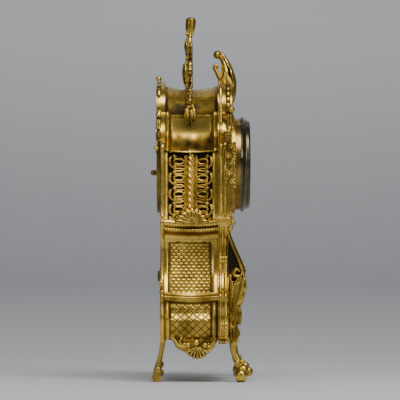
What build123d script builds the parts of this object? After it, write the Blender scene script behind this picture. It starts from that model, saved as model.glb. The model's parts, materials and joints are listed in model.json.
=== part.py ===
"""A gilt bronze rococo mantel clock, as an assembly of separate castings, doors, dial, hands and movement.

The frame: +Z up, the dial faces -Y, the origin is on the surface that the feet stand on, under the
middle of the clock. Everything is in millimetres. "Left" is the -X side, "right" the +X side.
"""
from build123d import *
from math import atan2, cos, pi, radians, sin
import os

os.makedirs("parts", exist_ok=True)

# ---- driving dimensions -----------------------------------------------------------------------
CASE_FRONT = -21.0        # front edge of the case walls
CASE_BACK = 44.0          # back edge of the case walls
CASE_MIDDLE = (CASE_FRONT + CASE_BACK) / 2
WALL = 3.0                # thickness of a cast wall
SCOTIA = 4.5              # how far a wall hollows in, halfway between front and back
PLATE_BACK = 5.0          # thickness of the back casting
PLATE_FRONT = 9.0         # thickness of the front casting
PLATE_FACE = CASE_FRONT - PLATE_FRONT
RELIEF_FRONT = -38.0      # front of the front casting's raised border, above the waist
LOW_RELIEF_FRONT = -33.0  # and below the waist
COLLAR_FRONT = -42.0      # front of the collar round the dial
DIAL_Z = 268.0            # height of the dial's centre
SEAT_RADIUS = 57.5        # fixed ring that carries the bezel
DIAL_RADIUS = 49.3
BEZEL_RADIUS = 59.5
SEAT_FRONT = -49.2        # front face of the fixed ring
BEZEL_BACK, BEZEL_FRONT = -49.6, -57.6
DIAL_FRONT = -45.2
EAVE_Z = 280.0            # top of the upper side walls
WAIST_TOP, WAIST_LOW = 182.0, 196.0
TIE_RODS = [(70.0, -140.0), (-70.0, -140.0)]
HINGE_X, HINGE_Y = 62.2, -48.6
HINGE_X_BACK, HINGE_Y_BACK = 64.2, 52.6
GLASS_CROWN = -62.4
PIVOT_CLEARANCE = 0.05    # radial running clearance of hinges and pivots

# The movement: two round plates, with the arbors at these places from the dial's centre.
FRONT_PLATE = (-36.0, -34.0)
REAR_PLATE = (-2.0, 0.0)
PLATE_RADIUS = 41.0
CENTRE = (0.0, 0.0)
GOING_BARREL = (19.03, -8.87)
STRIKE_BARREL = (-19.03, -8.87)
SECOND = (10.9, 9.4)
THIRD = (-6.48, 12.5)
ESCAPE = (0.0, 22.06)
ANCHOR = (0.0, 34.5)
MINUTE_STUD = (6.79, 6.79)
STRIKE_SECOND = (-24.88, 10.26)
PIN_WHEEL = (-21.36, 23.4)
FLY = (-12.28, 25.83)
HAMMER = (-30.0, -24.0)
PILLARS = [(27, 26), (22, -31), (-22, -31), (-38, 0)]
PENDULUM_Y = 8.5
PENDULUM_LENGTH = 201.0


def hand_in(builder, name):
    """Labels a finished piece and writes its file."""
    builder.part.label = name
    export_step(builder.part, f"parts/{name}.step")


def at(y):
    """The upright plane at depth y, with X to the right, Z up and its normal to the front."""
    return Plane.XZ.offset(-y)


def dial_plane(y, place=CENTRE):
    """The upright plane at depth y with its origin on an arbor of the movement."""
    return Plane(origin=(place[0], y, DIAL_Z + place[1]), x_dir=(1, 0, 0), z_dir=(0, -1, 0))


def mirrored(builder, name):
    """The same casting for the left side of the clock."""
    with BuildPart() as left:
        add(builder.part.mirror(Plane.YZ))
    hand_in(left, name)


# ---- case walls -------------------------------------------------------------------------------
def wall_section(z, half_width, thickness, hollow, front=CASE_FRONT, back=CASE_BACK):
    """One level cut of a right-hand wall: a strip from front to back that hollows in at its middle."""
    middle = (front + back) / 2
    inner = half_width - thickness
    with BuildSketch(Plane.XY.offset(z)) as section:
        with BuildLine():
            ThreePointArc((half_width, front), (half_width - hollow, middle), (half_width, back))
            Line((half_width, back), (inner, back))
            ThreePointArc((inner, back), (inner - hollow, middle), (inner, front))
            Line((inner, front), (half_width, front))
        make_face()
    return section.sketch


def lofted_wall(levels, thickness, hollow, front=CASE_FRONT, back=CASE_BACK):
    """A wall through (height, half width) levels."""
    for z, half_width in levels:
        add(wall_section(z, half_width, thickness, hollow, front, back))
    loft()


UPPER_LEVELS = [(WAIST_LOW, 102.0), (206, 99.5), (220, 98.5), (245, 98.2), (265, 97.0), (EAVE_Z, 94.5)]
LOWER_LEVELS = [(174, 95.0), (160, 93.5), (145, 94.5), (130, 98.0), (117, 105.0), (108, 111.5)]
BASE_LEVELS = [(108, 113.5), (102, 117.0), (95, 115.0), (86, 118.5),
               (77, 120.5), (68, 119.5), (58, 114.5), (51, 109.0)]
WINDOW_FRONT, WINDOW_BACK = -11.0, 34.5
WINDOW_LOW, WINDOW_TOP = 205.0, 277.0
WINDOW_SIZE = (40.0, WINDOW_BACK - WINDOW_FRONT, WINDOW_TOP - WINDOW_LOW)
WINDOW_PLACE = (95.0, (WINDOW_FRONT + WINDOW_BACK) / 2, (WINDOW_LOW + WINDOW_TOP) / 2)


def rope(mode=Mode.ADD):
    """The column down the middle of each sound fret, as three upright strands."""
    with Locations((95.2, WINDOW_PLACE[1], WINDOW_PLACE[2])):
        with PolarLocations(1.6, 3):
            Cylinder(1.9, WINDOW_SIZE[2], mode=mode)


def side_walls():
    """The two upper side castings, each with its window for the sound fret."""
    with BuildPart() as upper_side:
        lofted_wall(UPPER_LEVELS, WALL, SCOTIA)
        with Locations(WINDOW_PLACE):
            Box(*WINDOW_SIZE, mode=Mode.SUBTRACT)
        rope(Mode.SUBTRACT)
    hand_in(upper_side, "right_upper_side")
    mirrored(upper_side, "left_upper_side")


def sound_frets():
    """The pierced panels that let the bell be heard, each cast with a column down its middle."""
    slot_rows, slot_pitch, slot_length, slot_height = 8, 8.4, 13.0, 4.0
    column_offset = 12.4
    with BuildPart() as fret:
        lofted_wall([(z, w - 0.8) for z, w in UPPER_LEVELS], 1.6, SCOTIA)
        with Locations(WINDOW_PLACE):
            Box(WINDOW_SIZE[0], WINDOW_SIZE[1] - 0.2, WINDOW_SIZE[2] - 0.2, mode=Mode.INTERSECT)
        with BuildSketch(Plane.YZ.offset(70)) as slots:
            with Locations((WINDOW_PLACE[1], WINDOW_PLACE[2])):
                with GridLocations(2 * column_offset, slot_pitch, 2, slot_rows):
                    SlotOverall(slot_length, slot_height)
        extrude(amount=40, mode=Mode.SUBTRACT)
        rope()
    hand_in(fret, "right_sound_fret")
    mirrored(fret, "left_sound_fret")


def waist_mouldings():
    """The stepped moulding and hollow neck between the upper and the lower side of the case."""
    with BuildPart() as moulding:
        with BuildSketch(at(CASE_BACK)):
            with BuildLine():
                Line((99, WAIST_LOW), (103, WAIST_LOW))
                RadiusArc((103, WAIST_LOW), (107.5, 190.5), -5)
                Line((107.5, 190.5), (104, 188.8))
                RadiusArc((104, 188.8), (104, WAIST_TOP), 5)
                Spline((104, WAIST_TOP), (97.5, 179.5), (95.2, 174))
                Polyline((95.2, 174), (91.5, 174), (93, WAIST_TOP), (99, WAIST_LOW))
            make_face()
        extrude(amount=CASE_BACK - CASE_FRONT)
    hand_in(moulding, "right_waist_moulding")
    mirrored(moulding, "left_waist_moulding")


def lower_sides():
    """The trellis panels below the waist and the swelling base panels under them."""
    with BuildPart() as lower_side:
        lofted_wall(LOWER_LEVELS, WALL, 3.0)
    hand_in(lower_side, "right_lower_side")
    mirrored(lower_side, "left_lower_side")
    with BuildPart() as base_side:
        lofted_wall(BASE_LEVELS, WALL, 2.0)
    hand_in(base_side, "right_base_side")
    mirrored(base_side, "left_base_side")


def side_aprons():
    """The shell and scrolls that hang below each side, carried on the outside of the base panel."""
    shell_y, shell_z, shell_radius = 4.5, 37.5, 11.0
    with BuildPart() as apron:
        with BuildSketch(Plane.YZ.offset(104.5)):
            with BuildLine():
                Spline((36, 51), (24, 43), (4.5, 38), (-13, 43), (-20.5, 51))
                Line((-20.5, 51), (36, 51))
            make_face()
            with Locations((shell_y, shell_z)):
                Circle(shell_radius)
        extrude(amount=4.5)
    hand_in(apron, "right_side_apron")
    mirrored(apron, "left_side_apron")


# ---- roof -------------------------------------------------------------------------------------
def roof_dome():
    """The bell-shaped top of the roof, which hollows in halfway between front and back."""

    def section(y, scale, drop):
        crown = [(56, 329), (51, 345), (31, 360), (0, 366)]
        outer = [(x * scale, z - drop) for x, z in crown]
        inner = [(x * scale * 0.94, z - drop - (WALL if x < 40 else 0)) for x, z in crown]
        outer[0], inner[0] = (outer[0][0], 329), (inner[0][0], 329)
        with BuildSketch(at(y)) as cut:
            with BuildLine():
                Spline(*outer, *[(-x, z) for x, z in outer[-2::-1]])
                Line((-outer[0][0], 329), (-inner[0][0], 329))
                Spline(*[(-x, z) for x, z in inner], *inner[-2::-1])
                Line((inner[0][0], 329), (outer[0][0], 329))
            make_face()
        return cut.sketch

    with BuildPart() as dome:
        add(section(CASE_BACK, 1, 0))
        add(section(CASE_MIDDLE, 0.93, 5))
        add(section(CASE_FRONT, 1, 0))
        loft()
        upright_pin(0, CASE_MIDDLE, 3, 80, 100, Mode.SUBTRACT)
    hand_in(dome, "roof_dome")


def roof_shoulders():
    """The lower tier of the roof, one casting a side: a step, then a hollow sweep out to the eave."""

    def section(y, inset):
        top = [(52, 329), (57, 329), (63, 327), (63.5, 321)]
        sweep = [(63.5, 321), (66, 304), (76, 291), (95, EAVE_Z + 2.4)]
        under = [(91, EAVE_Z), (74, 287.5), (63, 302), (60.4, 320)]
        foot = [(95, EAVE_Z + 2.4), (95, EAVE_Z), (91, EAVE_Z)]

        def shifted(points, drop):
            return [(x - inset, z - drop * inset) for x, z in points]

        with BuildSketch(at(y)) as cut:
            with BuildLine():
                Polyline(*shifted(top, 0))
                Spline(shifted(top, 0)[-1], *shifted(sweep, 1)[1:])
                Polyline(*shifted(foot, 1))
                Spline(*shifted(under, 1)[:3], shifted(under, 0)[3])
                Polyline(*shifted([(60.4, 320), (52, 326.5), (52, 329)], 0))
            make_face()
        return cut.sketch

    with BuildPart() as shoulder:
        add(section(CASE_BACK, 0))
        add(section(CASE_MIDDLE, SCOTIA))
        add(section(CASE_FRONT, 0))
        loft()
        with BuildSketch(Plane.XY.offset(EAVE_Z)):
            with Locations((80, CASE_MIDDLE)):
                Rectangle(80, 100)
        extrude(amount=-20, mode=Mode.SUBTRACT)
    hand_in(shoulder, "right_roof_shoulder")
    mirrored(shoulder, "left_roof_shoulder")


def roof_crest():
    """The openwork ribbon over the roof: a band that hugs the dome, two C scrolls, a stem and a finial."""
    crest_front, crest_depth = 5.5, 12.0
    with BuildPart() as crest:
        with BuildSketch(at(crest_front + crest_depth)):
            with BuildLine():
                Spline((53.2, 329.6), (50.5, 342), (32, 357), (0, 362))
                Line((0, 362), (0, 369))
                Spline((0, 369), (34, 363), (55, 349), (61, 332), (66.5, 313))
                Polyline((66.5, 313), (60.2, 317), (59.7, 327.6), (53.2, 329.6))
            make_face()
            with Locations((16, 388)):
                Circle(16)
                Circle(11.5, mode=Mode.SUBTRACT)
            with Locations((36, 369)):
                Circle(11)
                Circle(7, mode=Mode.SUBTRACT)
            with Locations((0, 400)):
                Rectangle(9, 70)
            with Locations((0, 443.4)):
                Circle(10)
            mirror(about=Plane.YZ)
        extrude(amount=crest_depth)
        upright_pin(0, CASE_MIDDLE, 3, 85, 96)
    hand_in(crest, "roof_crest")


# ---- front and back castings ------------------------------------------------------------------
def silhouette(y, g):
    """The clock's front view at depth y, set out by the margin g: one half, then its mirror image."""
    with BuildSketch(at(y)) as whole:
        with BuildLine():
            Spline((0, 366 + g), (31, 360 + g), (51 + g, 345 + g * 0.7), (57 + g, 329))
            Line((57 + g, 329), (64 + g, 326))
            Spline((64 + g, 326), (66.5 + g, 306 + g * 0.3), (77 + g, 292 + g * 0.6), (95 + g, 284 + g * 0.3))
            Line((95 + g, 284 + g * 0.3), (96 + g, 274))
            Spline((96 + g, 274), (98.5 + g, 245), (99 + g, 215), (103 + g, 197))
            Line((103 + g, 197), (108 + g, 192))
            Spline((108 + g, 192), (104 + g, 183), (95 + g, 172), (93.5 + g, 155),
                   (98 + g, 130), (111 + g, 110))
            Line((111 + g, 110), (118 + g, 104))
            Spline((118 + g, 104), (116 + g, 95), (121 + g, 78), (118 + g, 62), (109 + g, 50 - g * 0.3))
            Spline((109 + g, 50 - g * 0.3), (84, 56 - g), (48, 66 - g), (0, 60 - g))
            Line((0, 60 - g), (0, 366 + g))
        make_face()
        mirror(about=Plane.YZ)
    return whole.sketch


def back_casting():
    """The plain back plate: the round opening for the movement and two strip legs."""
    leg_inner, leg_width = 94.0, 15.0
    with BuildPart() as back:
        extrude(silhouette(CASE_BACK + PLATE_BACK, 6), amount=PLATE_BACK)
        turned(CENTRE, 47, CASE_BACK, CASE_BACK + PLATE_BACK, Mode.SUBTRACT)
        for leg_start in (leg_inner, -leg_inner - leg_width):
            with BuildSketch(Plane.YZ.offset(leg_start)):
                with BuildLine():
                    Spline((44.4, 60), (44.8, 48), (46.8, 36), (50, 20), (50.5, 9))
                    ThreePointArc((50.5, 9), (47.5, 4.5), (50.5, 0))
                    Line((50.5, 0), (57, 0))
                    Spline((57, 0), (57.6, 8), (54, 20), (50.5, 36), (49, 60))
                    Line((49, 60), (44.4, 60))
                make_face()
            extrude(amount=leg_width)
        for place in TIE_RODS:
            turned(place, 1.7, CASE_BACK, CASE_BACK + PLATE_BACK, Mode.SUBTRACT)
        for offset in (11, -11):
            with Locations((HINGE_X_BACK, HINGE_Y_BACK - 0.8, DIAL_Z + offset)):
                Box(4.4, 6, 7)
        upright_pin(HINGE_X_BACK, HINGE_Y_BACK, 1, -15, 15)
    hand_in(back, "back_casting")


def back_border():
    """The raised edge round the back plate's crown, with a ball on top."""
    with BuildPart() as border:
        extrude(silhouette(54.4, 6), amount=5.4)
        extrude(silhouette(54.4, 0), amount=5.4, mode=Mode.SUBTRACT)
        with Locations((0, 52, 142)):
            Box(300, 20, 300, mode=Mode.SUBTRACT)
        with Locations((0, 52.7, 375)):
            Sphere(3.6)
    hand_in(border, "back_border")


def front_casting():
    """The front plate, open for the dial and for the pendulum."""
    with BuildPart() as front:
        extrude(silhouette(CASE_FRONT, 8), amount=PLATE_FRONT)
        with BuildSketch(at(CASE_FRONT)):
            with Locations((0, DIAL_Z)):
                Circle(50.5)
            with Locations((0, 106)):
                Rectangle(58, 44)
            with Locations((0, 128)):
                Ellipse(29, 22)
        extrude(amount=12, mode=Mode.SUBTRACT)
        for place in TIE_RODS:
            turned(place, 1.7, PLATE_FACE, CASE_FRONT, Mode.SUBTRACT)
    hand_in(front, "front_casting")


def front_mouldings():
    """What stands proud of the front plate: the border along its edge and the collar round the dial."""
    with BuildPart() as border:
        extrude(silhouette(PLATE_FACE, 6), amount=PLATE_FACE - RELIEF_FRONT)
        extrude(silhouette(PLATE_FACE, -9), amount=PLATE_FACE - RELIEF_FRONT, mode=Mode.SUBTRACT)
        with Locations((0, LOW_RELIEF_FRONT - 5, 95)):
            Box(300, 10, 190, mode=Mode.SUBTRACT)
    hand_in(border, "front_border")
    with BuildPart() as collar:
        turned(CENTRE, 62, COLLAR_FRONT, PLATE_FACE)
        turned(CENTRE, 50.5, COLLAR_FRONT, PLATE_FACE, Mode.SUBTRACT)
    hand_in(collar, "dial_collar")


def front_crest():
    """The leaf that rises from the top of the front casting and curls back over the roof."""
    with BuildPart() as crest:
        with BuildSketch(Plane.YZ.offset(-13)):
            with BuildLine():
                Spline((-38, 330), (-43, 350), (-42, 372), (-36, 392), (-27, 406), (-20, 411.5), (-16, 407))
                Spline((-16, 407), (-20, 402), (-28, 396), (-33, 386), (-36, 376))
                Polyline((-36, 376), (-38, 374), (-38, 330))
            make_face()
        extrude(amount=26)
    hand_in(crest, "front_crest")


def front_apron():
    """The shell and scrolls hanging between the front legs, on the face of the front casting."""
    with BuildPart() as apron:
        with BuildSketch(at(LOW_RELIEF_FRONT)):
            with BuildLine():
                Spline((-46, 62), (-30, 50), (0, 40), (30, 50), (46, 62))
                Line((46, 62), (-46, 62))
            make_face()
            with Locations((0, 50)):
                Circle(15)
        extrude(amount=10)
    hand_in(apron, "front_apron")


def front_legs():
    """The console scrolls on paw feet: open at the top, swelling to a knee, drawn in to an ankle."""
    inner_x, width = 97.0, 17.0
    toes = [(-57, 5.2, 0, 5.0), (-55.5, 13.5, -5, 4.0), (-55.5, 13.5, 5, 4.0),
            (-45, 20, -5, 3.4), (-45, 20, 5, 3.4)]
    with BuildPart() as leg:
        with BuildSketch(Plane.YZ.offset(inner_x)):
            with BuildLine():
                Spline((-38, 186), (-42, 176), (-49, 160), (-53, 140), (-53.5, 120), (-51, 95))
                Spline((-51, 95), (-46.5, 74), (-44.5, 57), (-39.5, 48), (-46, 38.5))
                Spline((-46, 38.5), (-48, 25), (-55, 14), (-57, 0))
                Line((-57, 0), (-41, 0))
                Spline((-41, 0), (-39.5, 6), (-36, 20), (-34.5, 34), (LOW_RELIEF_FRONT, 45))
                Line((LOW_RELIEF_FRONT, 45), (LOW_RELIEF_FRONT, 124))
                ThreePointArc((LOW_RELIEF_FRONT, 124), (-43.5, 148), (LOW_RELIEF_FRONT, 172))
                Polyline((LOW_RELIEF_FRONT, 172), (LOW_RELIEF_FRONT, 186), (-38, 186))
            make_face()
        extrude(amount=width)
        for y, z, aside, radius in toes:
            with Locations((inner_x + width / 2 + aside, y, z)):
                Sphere(radius)
        with BuildSketch(Plane.XY):
            with Locations((inner_x + width / 2, -48)):
                Rectangle(80, 80)
        extrude(amount=-10, mode=Mode.SUBTRACT)
    hand_in(leg, "right_front_leg")
    mirrored(leg, "left_front_leg")


def tie_rods():
    """The two rods that clamp the walls between the castings, each with a round nut behind."""
    with BuildPart() as rods:
        for place in TIE_RODS:
            turned(place, 1.7, PLATE_FACE, CASE_BACK + PLATE_BACK)
            turned(place, 3.4, PLATE_FACE - 2, PLATE_FACE)
            turned(place, 6, CASE_BACK + PLATE_BACK, CASE_BACK + PLATE_BACK + 3.6)
    hand_in(rods, "tie_rods")


# ---- doors ------------------------------------------------------------------------------------
def turned(place, radius, front, back, mode=Mode.ADD):
    """A round bar or bore lying front to back on an arbor line of the movement."""
    base = (Align.CENTER, Align.CENTER, Align.MIN)
    with Locations((place[0], back, DIAL_Z + place[1])):
        Cylinder(radius, back - front, rotation=(90, 0, 0), align=base, mode=mode)


def upright_pin(x, y, radius, low, high, mode=Mode.ADD):
    """A round bar or bore standing upright at (x, y), between two heights from the dial's centre."""
    base = (Align.CENTER, Align.CENTER, Align.MIN)
    with Locations((x, y, DIAL_Z + low)):
        Cylinder(radius, high - low, align=base, mode=mode)


def hinge_bore(x, y):
    """The bore for a hinge pin."""
    upright_pin(x, y, 1.05, -16, 16, Mode.SUBTRACT)


def ring(outer, inner, front, back):
    """A flat ring round the dial's axis."""
    turned(CENTRE, outer, front, back)
    turned(CENTRE, inner, front, back, Mode.SUBTRACT)


def bezel_seat():
    """The fixed ring in the collar: it carries the dial and the movement, and the bezel's hinge."""
    with BuildPart() as seat:
        ring(SEAT_RADIUS, 37, -43.2, COLLAR_FRONT)
        ring(SEAT_RADIUS, 49.5, SEAT_FRONT, -43.2)
        for angle in (45, 135, 225, 315):
            turned((39 * cos(radians(angle)), 39 * sin(radians(angle))), 1.7, COLLAR_FRONT, FRONT_PLATE[0])
        for low, high in ((4.2, 9), (-9, -4.2)):
            upright_pin(HINGE_X, HINGE_Y, 2.2, low, high)
            with Locations((59.2, HINGE_Y + 1.4, DIAL_Z + (low + high) / 2)):
                Box(6, 1.6, high - low)
        upright_pin(HINGE_X, HINGE_Y, 1, -10, 10)
    hand_in(seat, "bezel_seat")


def bezel():
    """The glazed door over the dial: a moulded ring with its knuckle and its catch tab."""
    with BuildPart() as door:
        with BuildSketch(Plane.XY.offset(DIAL_Z)):
            with BuildLine():
                Polyline((59.5, BEZEL_BACK), (58.8, -51.6), (59.5, -52.4))
                RadiusArc((59.5, -52.4), (55.5, BEZEL_FRONT), -5.4)
                Polyline((55.5, BEZEL_FRONT), (52, BEZEL_FRONT), (51, -56.6), (51, -55.95), (53, -55.95))
                Polyline((53, -55.95), (53, BEZEL_BACK), (59.5, BEZEL_BACK))
            make_face()
        revolve(axis=Axis((0, 0, DIAL_Z), (0, 1, 0)))
        upright_pin(HINGE_X, HINGE_Y, 2.2, -4.1, 4.1)
        with Locations((60.4, HINGE_Y - 1.6, DIAL_Z)):
            Box(3.6, 1.2, 8.2)
        with BuildSketch(Plane.XY.offset(DIAL_Z)):
            with Locations((-59.5, -52)):
                Rectangle(7, 3)
        extrude(amount=5)
        hinge_bore(HINGE_X, HINGE_Y)
    hand_in(door, "bezel")
    crown_radius = 204.14
    with BuildPart() as glass:
        with Locations((0, GLASS_CROWN + crown_radius, DIAL_Z)):
            Sphere(crown_radius)
            Sphere(crown_radius - 1.5, mode=Mode.SUBTRACT)
        turned(CENTRE, 53, -70, -50, Mode.INTERSECT)
    hand_in(glass, "bezel_glass")


LATCH = (-42.5, -12.5)


def back_door():
    """The round door over the bell, and the turning latch in it."""
    door_back, door_front = 54.4, 50.2
    with BuildPart() as door:
        turned(CENTRE, 61, door_front, door_back)
        turned(CENTRE, 56, door_front, 51.6, Mode.SUBTRACT)
        turned(LATCH, 5, door_front, 51.6)
        turned(LATCH, 2.55, door_front, door_back, Mode.SUBTRACT)
        upright_pin(HINGE_X_BACK, HINGE_Y_BACK, 2.2, -7.3, 7.3)
        with Locations((61.2, HINGE_Y_BACK, DIAL_Z)):
            Box(5, 2.4, 14.6)
        turned((-36, 14), 2.4, door_back, door_back + 1.2)
        hinge_bore(HINGE_X_BACK, HINGE_Y_BACK)
    hand_in(door, "back_door")
    with BuildPart() as latch:
        turned(LATCH, 2.5, 41.4, door_back + 4)
        turned(LATCH, 3.4, door_back + 0.1, 56.4)
        with Locations((LATCH[0], 58.6, DIAL_Z + LATCH[1])):
            Sphere(3.4)
        with Locations((LATCH[0], 42.4, DIAL_Z + LATCH[1] + 4)):
            Box(4, 2, 10)
    hand_in(latch, "back_door_latch")


# ---- dial and hands ---------------------------------------------------------------------------
def dial():
    """The pierced gilt dial with its winding holes, and the twelve enamel numeral plaques on it."""
    with BuildPart() as plate:
        turned(CENTRE, DIAL_RADIUS, DIAL_FRONT, -43.2)
        turned(CENTRE, 3.2, DIAL_FRONT, -43.2, Mode.SUBTRACT)
        for place in (GOING_BARREL, STRIKE_BARREL):
            turned(place, 4.2, DIAL_FRONT, -43.2, Mode.SUBTRACT)
    hand_in(plate, "dial")
    with BuildPart() as plaques:
        with BuildSketch(dial_plane(DIAL_FRONT)):
            with PolarLocations(38.5, 12):
                Ellipse(6.8, 5.4)
            Circle(16)
            Circle(5, mode=Mode.SUBTRACT)
        extrude(amount=1.2)
    hand_in(plaques, "numeral_plaques")


def hand(reach, tail, width, bore, front, back):
    """A clock hand that points to twelve, pierced by a ring near its tip."""
    with BuildSketch(dial_plane(back)) as shape:
        Circle(width * 1.3)
        Polygon((-width / 2, -tail), (width / 2, -tail),
                (width / 3, reach - 8), (-width / 3, reach - 8), align=None)
        Polygon((-width / 2, reach - 8), (width / 2, reach - 8), (0, reach), align=None)
        with Locations((0, reach - 11)):
            Circle(width * 0.95)
            Circle(width * 0.5, mode=Mode.SUBTRACT)
        Circle(bore, mode=Mode.SUBTRACT)
    extrude(shape.sketch, amount=back - front)


def hands():
    """The hour and minute hands, standing at twelve."""
    with BuildPart() as hour:
        hand(29, 6, 4.2, 2.6, -49.4, -48.4)
    hand_in(hour, "hour_hand")
    with BuildPart() as minute:
        hand(43, 10, 3.4, 1.8, -51.2, -50.2)
    hand_in(minute, "minute_hand")


# ---- movement ---------------------------------------------------------------------------------
def tooth_points(teeth, module, phase, pinion=False):
    """The outline of a toothed wheel; phase is the angle of one tooth, in radians."""
    pitch = 2 * pi / teeth
    radius = teeth * module / 2
    tip = radius + module * (0.75 if pinion else 0.85)
    root = radius - module * 1.2
    at_root, at_tip = (0.24, 0.10) if pinion else (0.28, 0.09)
    points = []
    for tooth in range(teeth):
        middle = phase + tooth * pitch
        for r, share in ((root, -at_root), (tip, -at_tip), (tip, at_tip), (root, at_root)):
            points.append((r * cos(middle + share * pitch), r * sin(middle + share * pitch)))
    return points


def mesh(driver, driven):
    """The phase that lets the driven wheel's teeth stand in the driver's spaces: (place, teeth, phase)."""
    (x, z), teeth, phase = driver
    (other_x, other_z), other_teeth = driven
    toward = atan2(other_z - z, other_x - x)
    return toward + pi - (phase - toward) * teeth / other_teeth + pi / other_teeth


def toothed(place, teeth, module, phase, front, back, pinion=False):
    """A toothed wheel or pinion; wheels over 30 teeth are crossed out to four spokes."""
    with BuildSketch(dial_plane(back, place)) as wheel:
        Polygon(*tooth_points(teeth, module, phase, pinion), align=None)
        if teeth > 30 and not pinion:
            rim = teeth * module / 2 - 2.4
            with PolarLocations((rim + 3) / 2, 4, start_angle=45):
                Circle((rim - 3) / 2 * 0.9, mode=Mode.SUBTRACT)
    extrude(wheel.sketch, amount=back - front)


def arbor(place, radius=1.0):
    """A shaft between the plates, with pivots that run in them."""
    turned(place, radius, FRONT_PLATE[1] + 0.1, REAR_PLATE[0] - 0.1)
    turned(place, 0.6, FRONT_PLATE[0], REAR_PLATE[1])


GREAT_TEETH, GREAT_MODULE = 68, 0.5
SECOND_LEVEL = (-9.6, -8.4)


def plates():
    """The two round plates of the movement, the pillars between them and their pivot holes."""
    small = [SECOND, THIRD, ESCAPE, PIN_WHEEL, FLY]
    with BuildPart() as front:
        turned(CENTRE, PLATE_RADIUS, *FRONT_PLATE)
        for place in (*small, STRIKE_SECOND, HAMMER, ANCHOR):
            turned(place, 0.6 + PIVOT_CLEARANCE, *FRONT_PLATE, Mode.SUBTRACT)
        for place in (GOING_BARREL, STRIKE_BARREL):
            turned(place, 2 + PIVOT_CLEARANCE, *FRONT_PLATE, Mode.SUBTRACT)
        turned(CENTRE, 1.3 + PIVOT_CLEARANCE, *FRONT_PLATE, Mode.SUBTRACT)
        turned(MINUTE_STUD, 0.8, -40.4, FRONT_PLATE[0])
    hand_in(front, "movement_front_plate")
    with BuildPart() as rear:
        turned(CENTRE, PLATE_RADIUS, *REAR_PLATE)
        for place in PILLARS:
            turned(place, 2.2, FRONT_PLATE[1], REAR_PLATE[0])
        for place in (CENTRE, *small):
            turned(place, 0.6 + PIVOT_CLEARANCE, *REAR_PLATE, Mode.SUBTRACT)
        for place in (GOING_BARREL, STRIKE_BARREL, ANCHOR):
            turned(place, 1.6 + PIVOT_CLEARANCE, *REAR_PLATE, Mode.SUBTRACT)
        for place in (STRIKE_SECOND, HAMMER):
            turned(place, 1 + PIVOT_CLEARANCE, *REAR_PLATE, Mode.SUBTRACT)
    hand_in(rear, "movement_rear_plate")


def straps():
    """The two bars that clamp the movement's ring to the back casting."""
    with BuildPart() as pair:
        for side in (-1, 1):
            with Locations((side * 49.3, (CASE_BACK + CASE_FRONT - 9) / 2, DIAL_Z)):
                Box(1.8, CASE_BACK - CASE_FRONT + 9, 9)
            with Locations((side * 52.2, CASE_BACK - 1, DIAL_Z)):
                Box(4, 2, 9)
            with Locations((side * 52.2, CASE_FRONT + 1, DIAL_Z)):
                Box(4, 2, 9)
    hand_in(pair, "movement_straps")


def barrel(place, name, arbor_name, phase):
    """A spring barrel with its great wheel, and the arbor with ratchet wheel and winding square."""
    with BuildPart() as drum:
        toothed(place, GREAT_TEETH, GREAT_MODULE, phase, -31, -29)
        turned(place, 15.5, -29, -11)
        turned(place, 14.3, -28, -12, Mode.SUBTRACT)
        turned(place, 5, -32, -31)
        turned(place, 2 + PIVOT_CLEARANCE, -34, -9, Mode.SUBTRACT)
    hand_in(drum, name)
    with BuildPart() as winding:
        turned(place, 2, -38.5, -10)
        turned(place, 1.6, -10, REAR_PLATE[1])
        with BuildSketch(dial_plane(-36.4, place)):
            Polygon(*tooth_points(24, 0.62, phase), align=None)
        extrude(amount=1.6)
        with BuildSketch(dial_plane(-38, place)):
            Rectangle(3.2, 3.2)
        extrude(amount=9)
    hand_in(winding, arbor_name)


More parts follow.
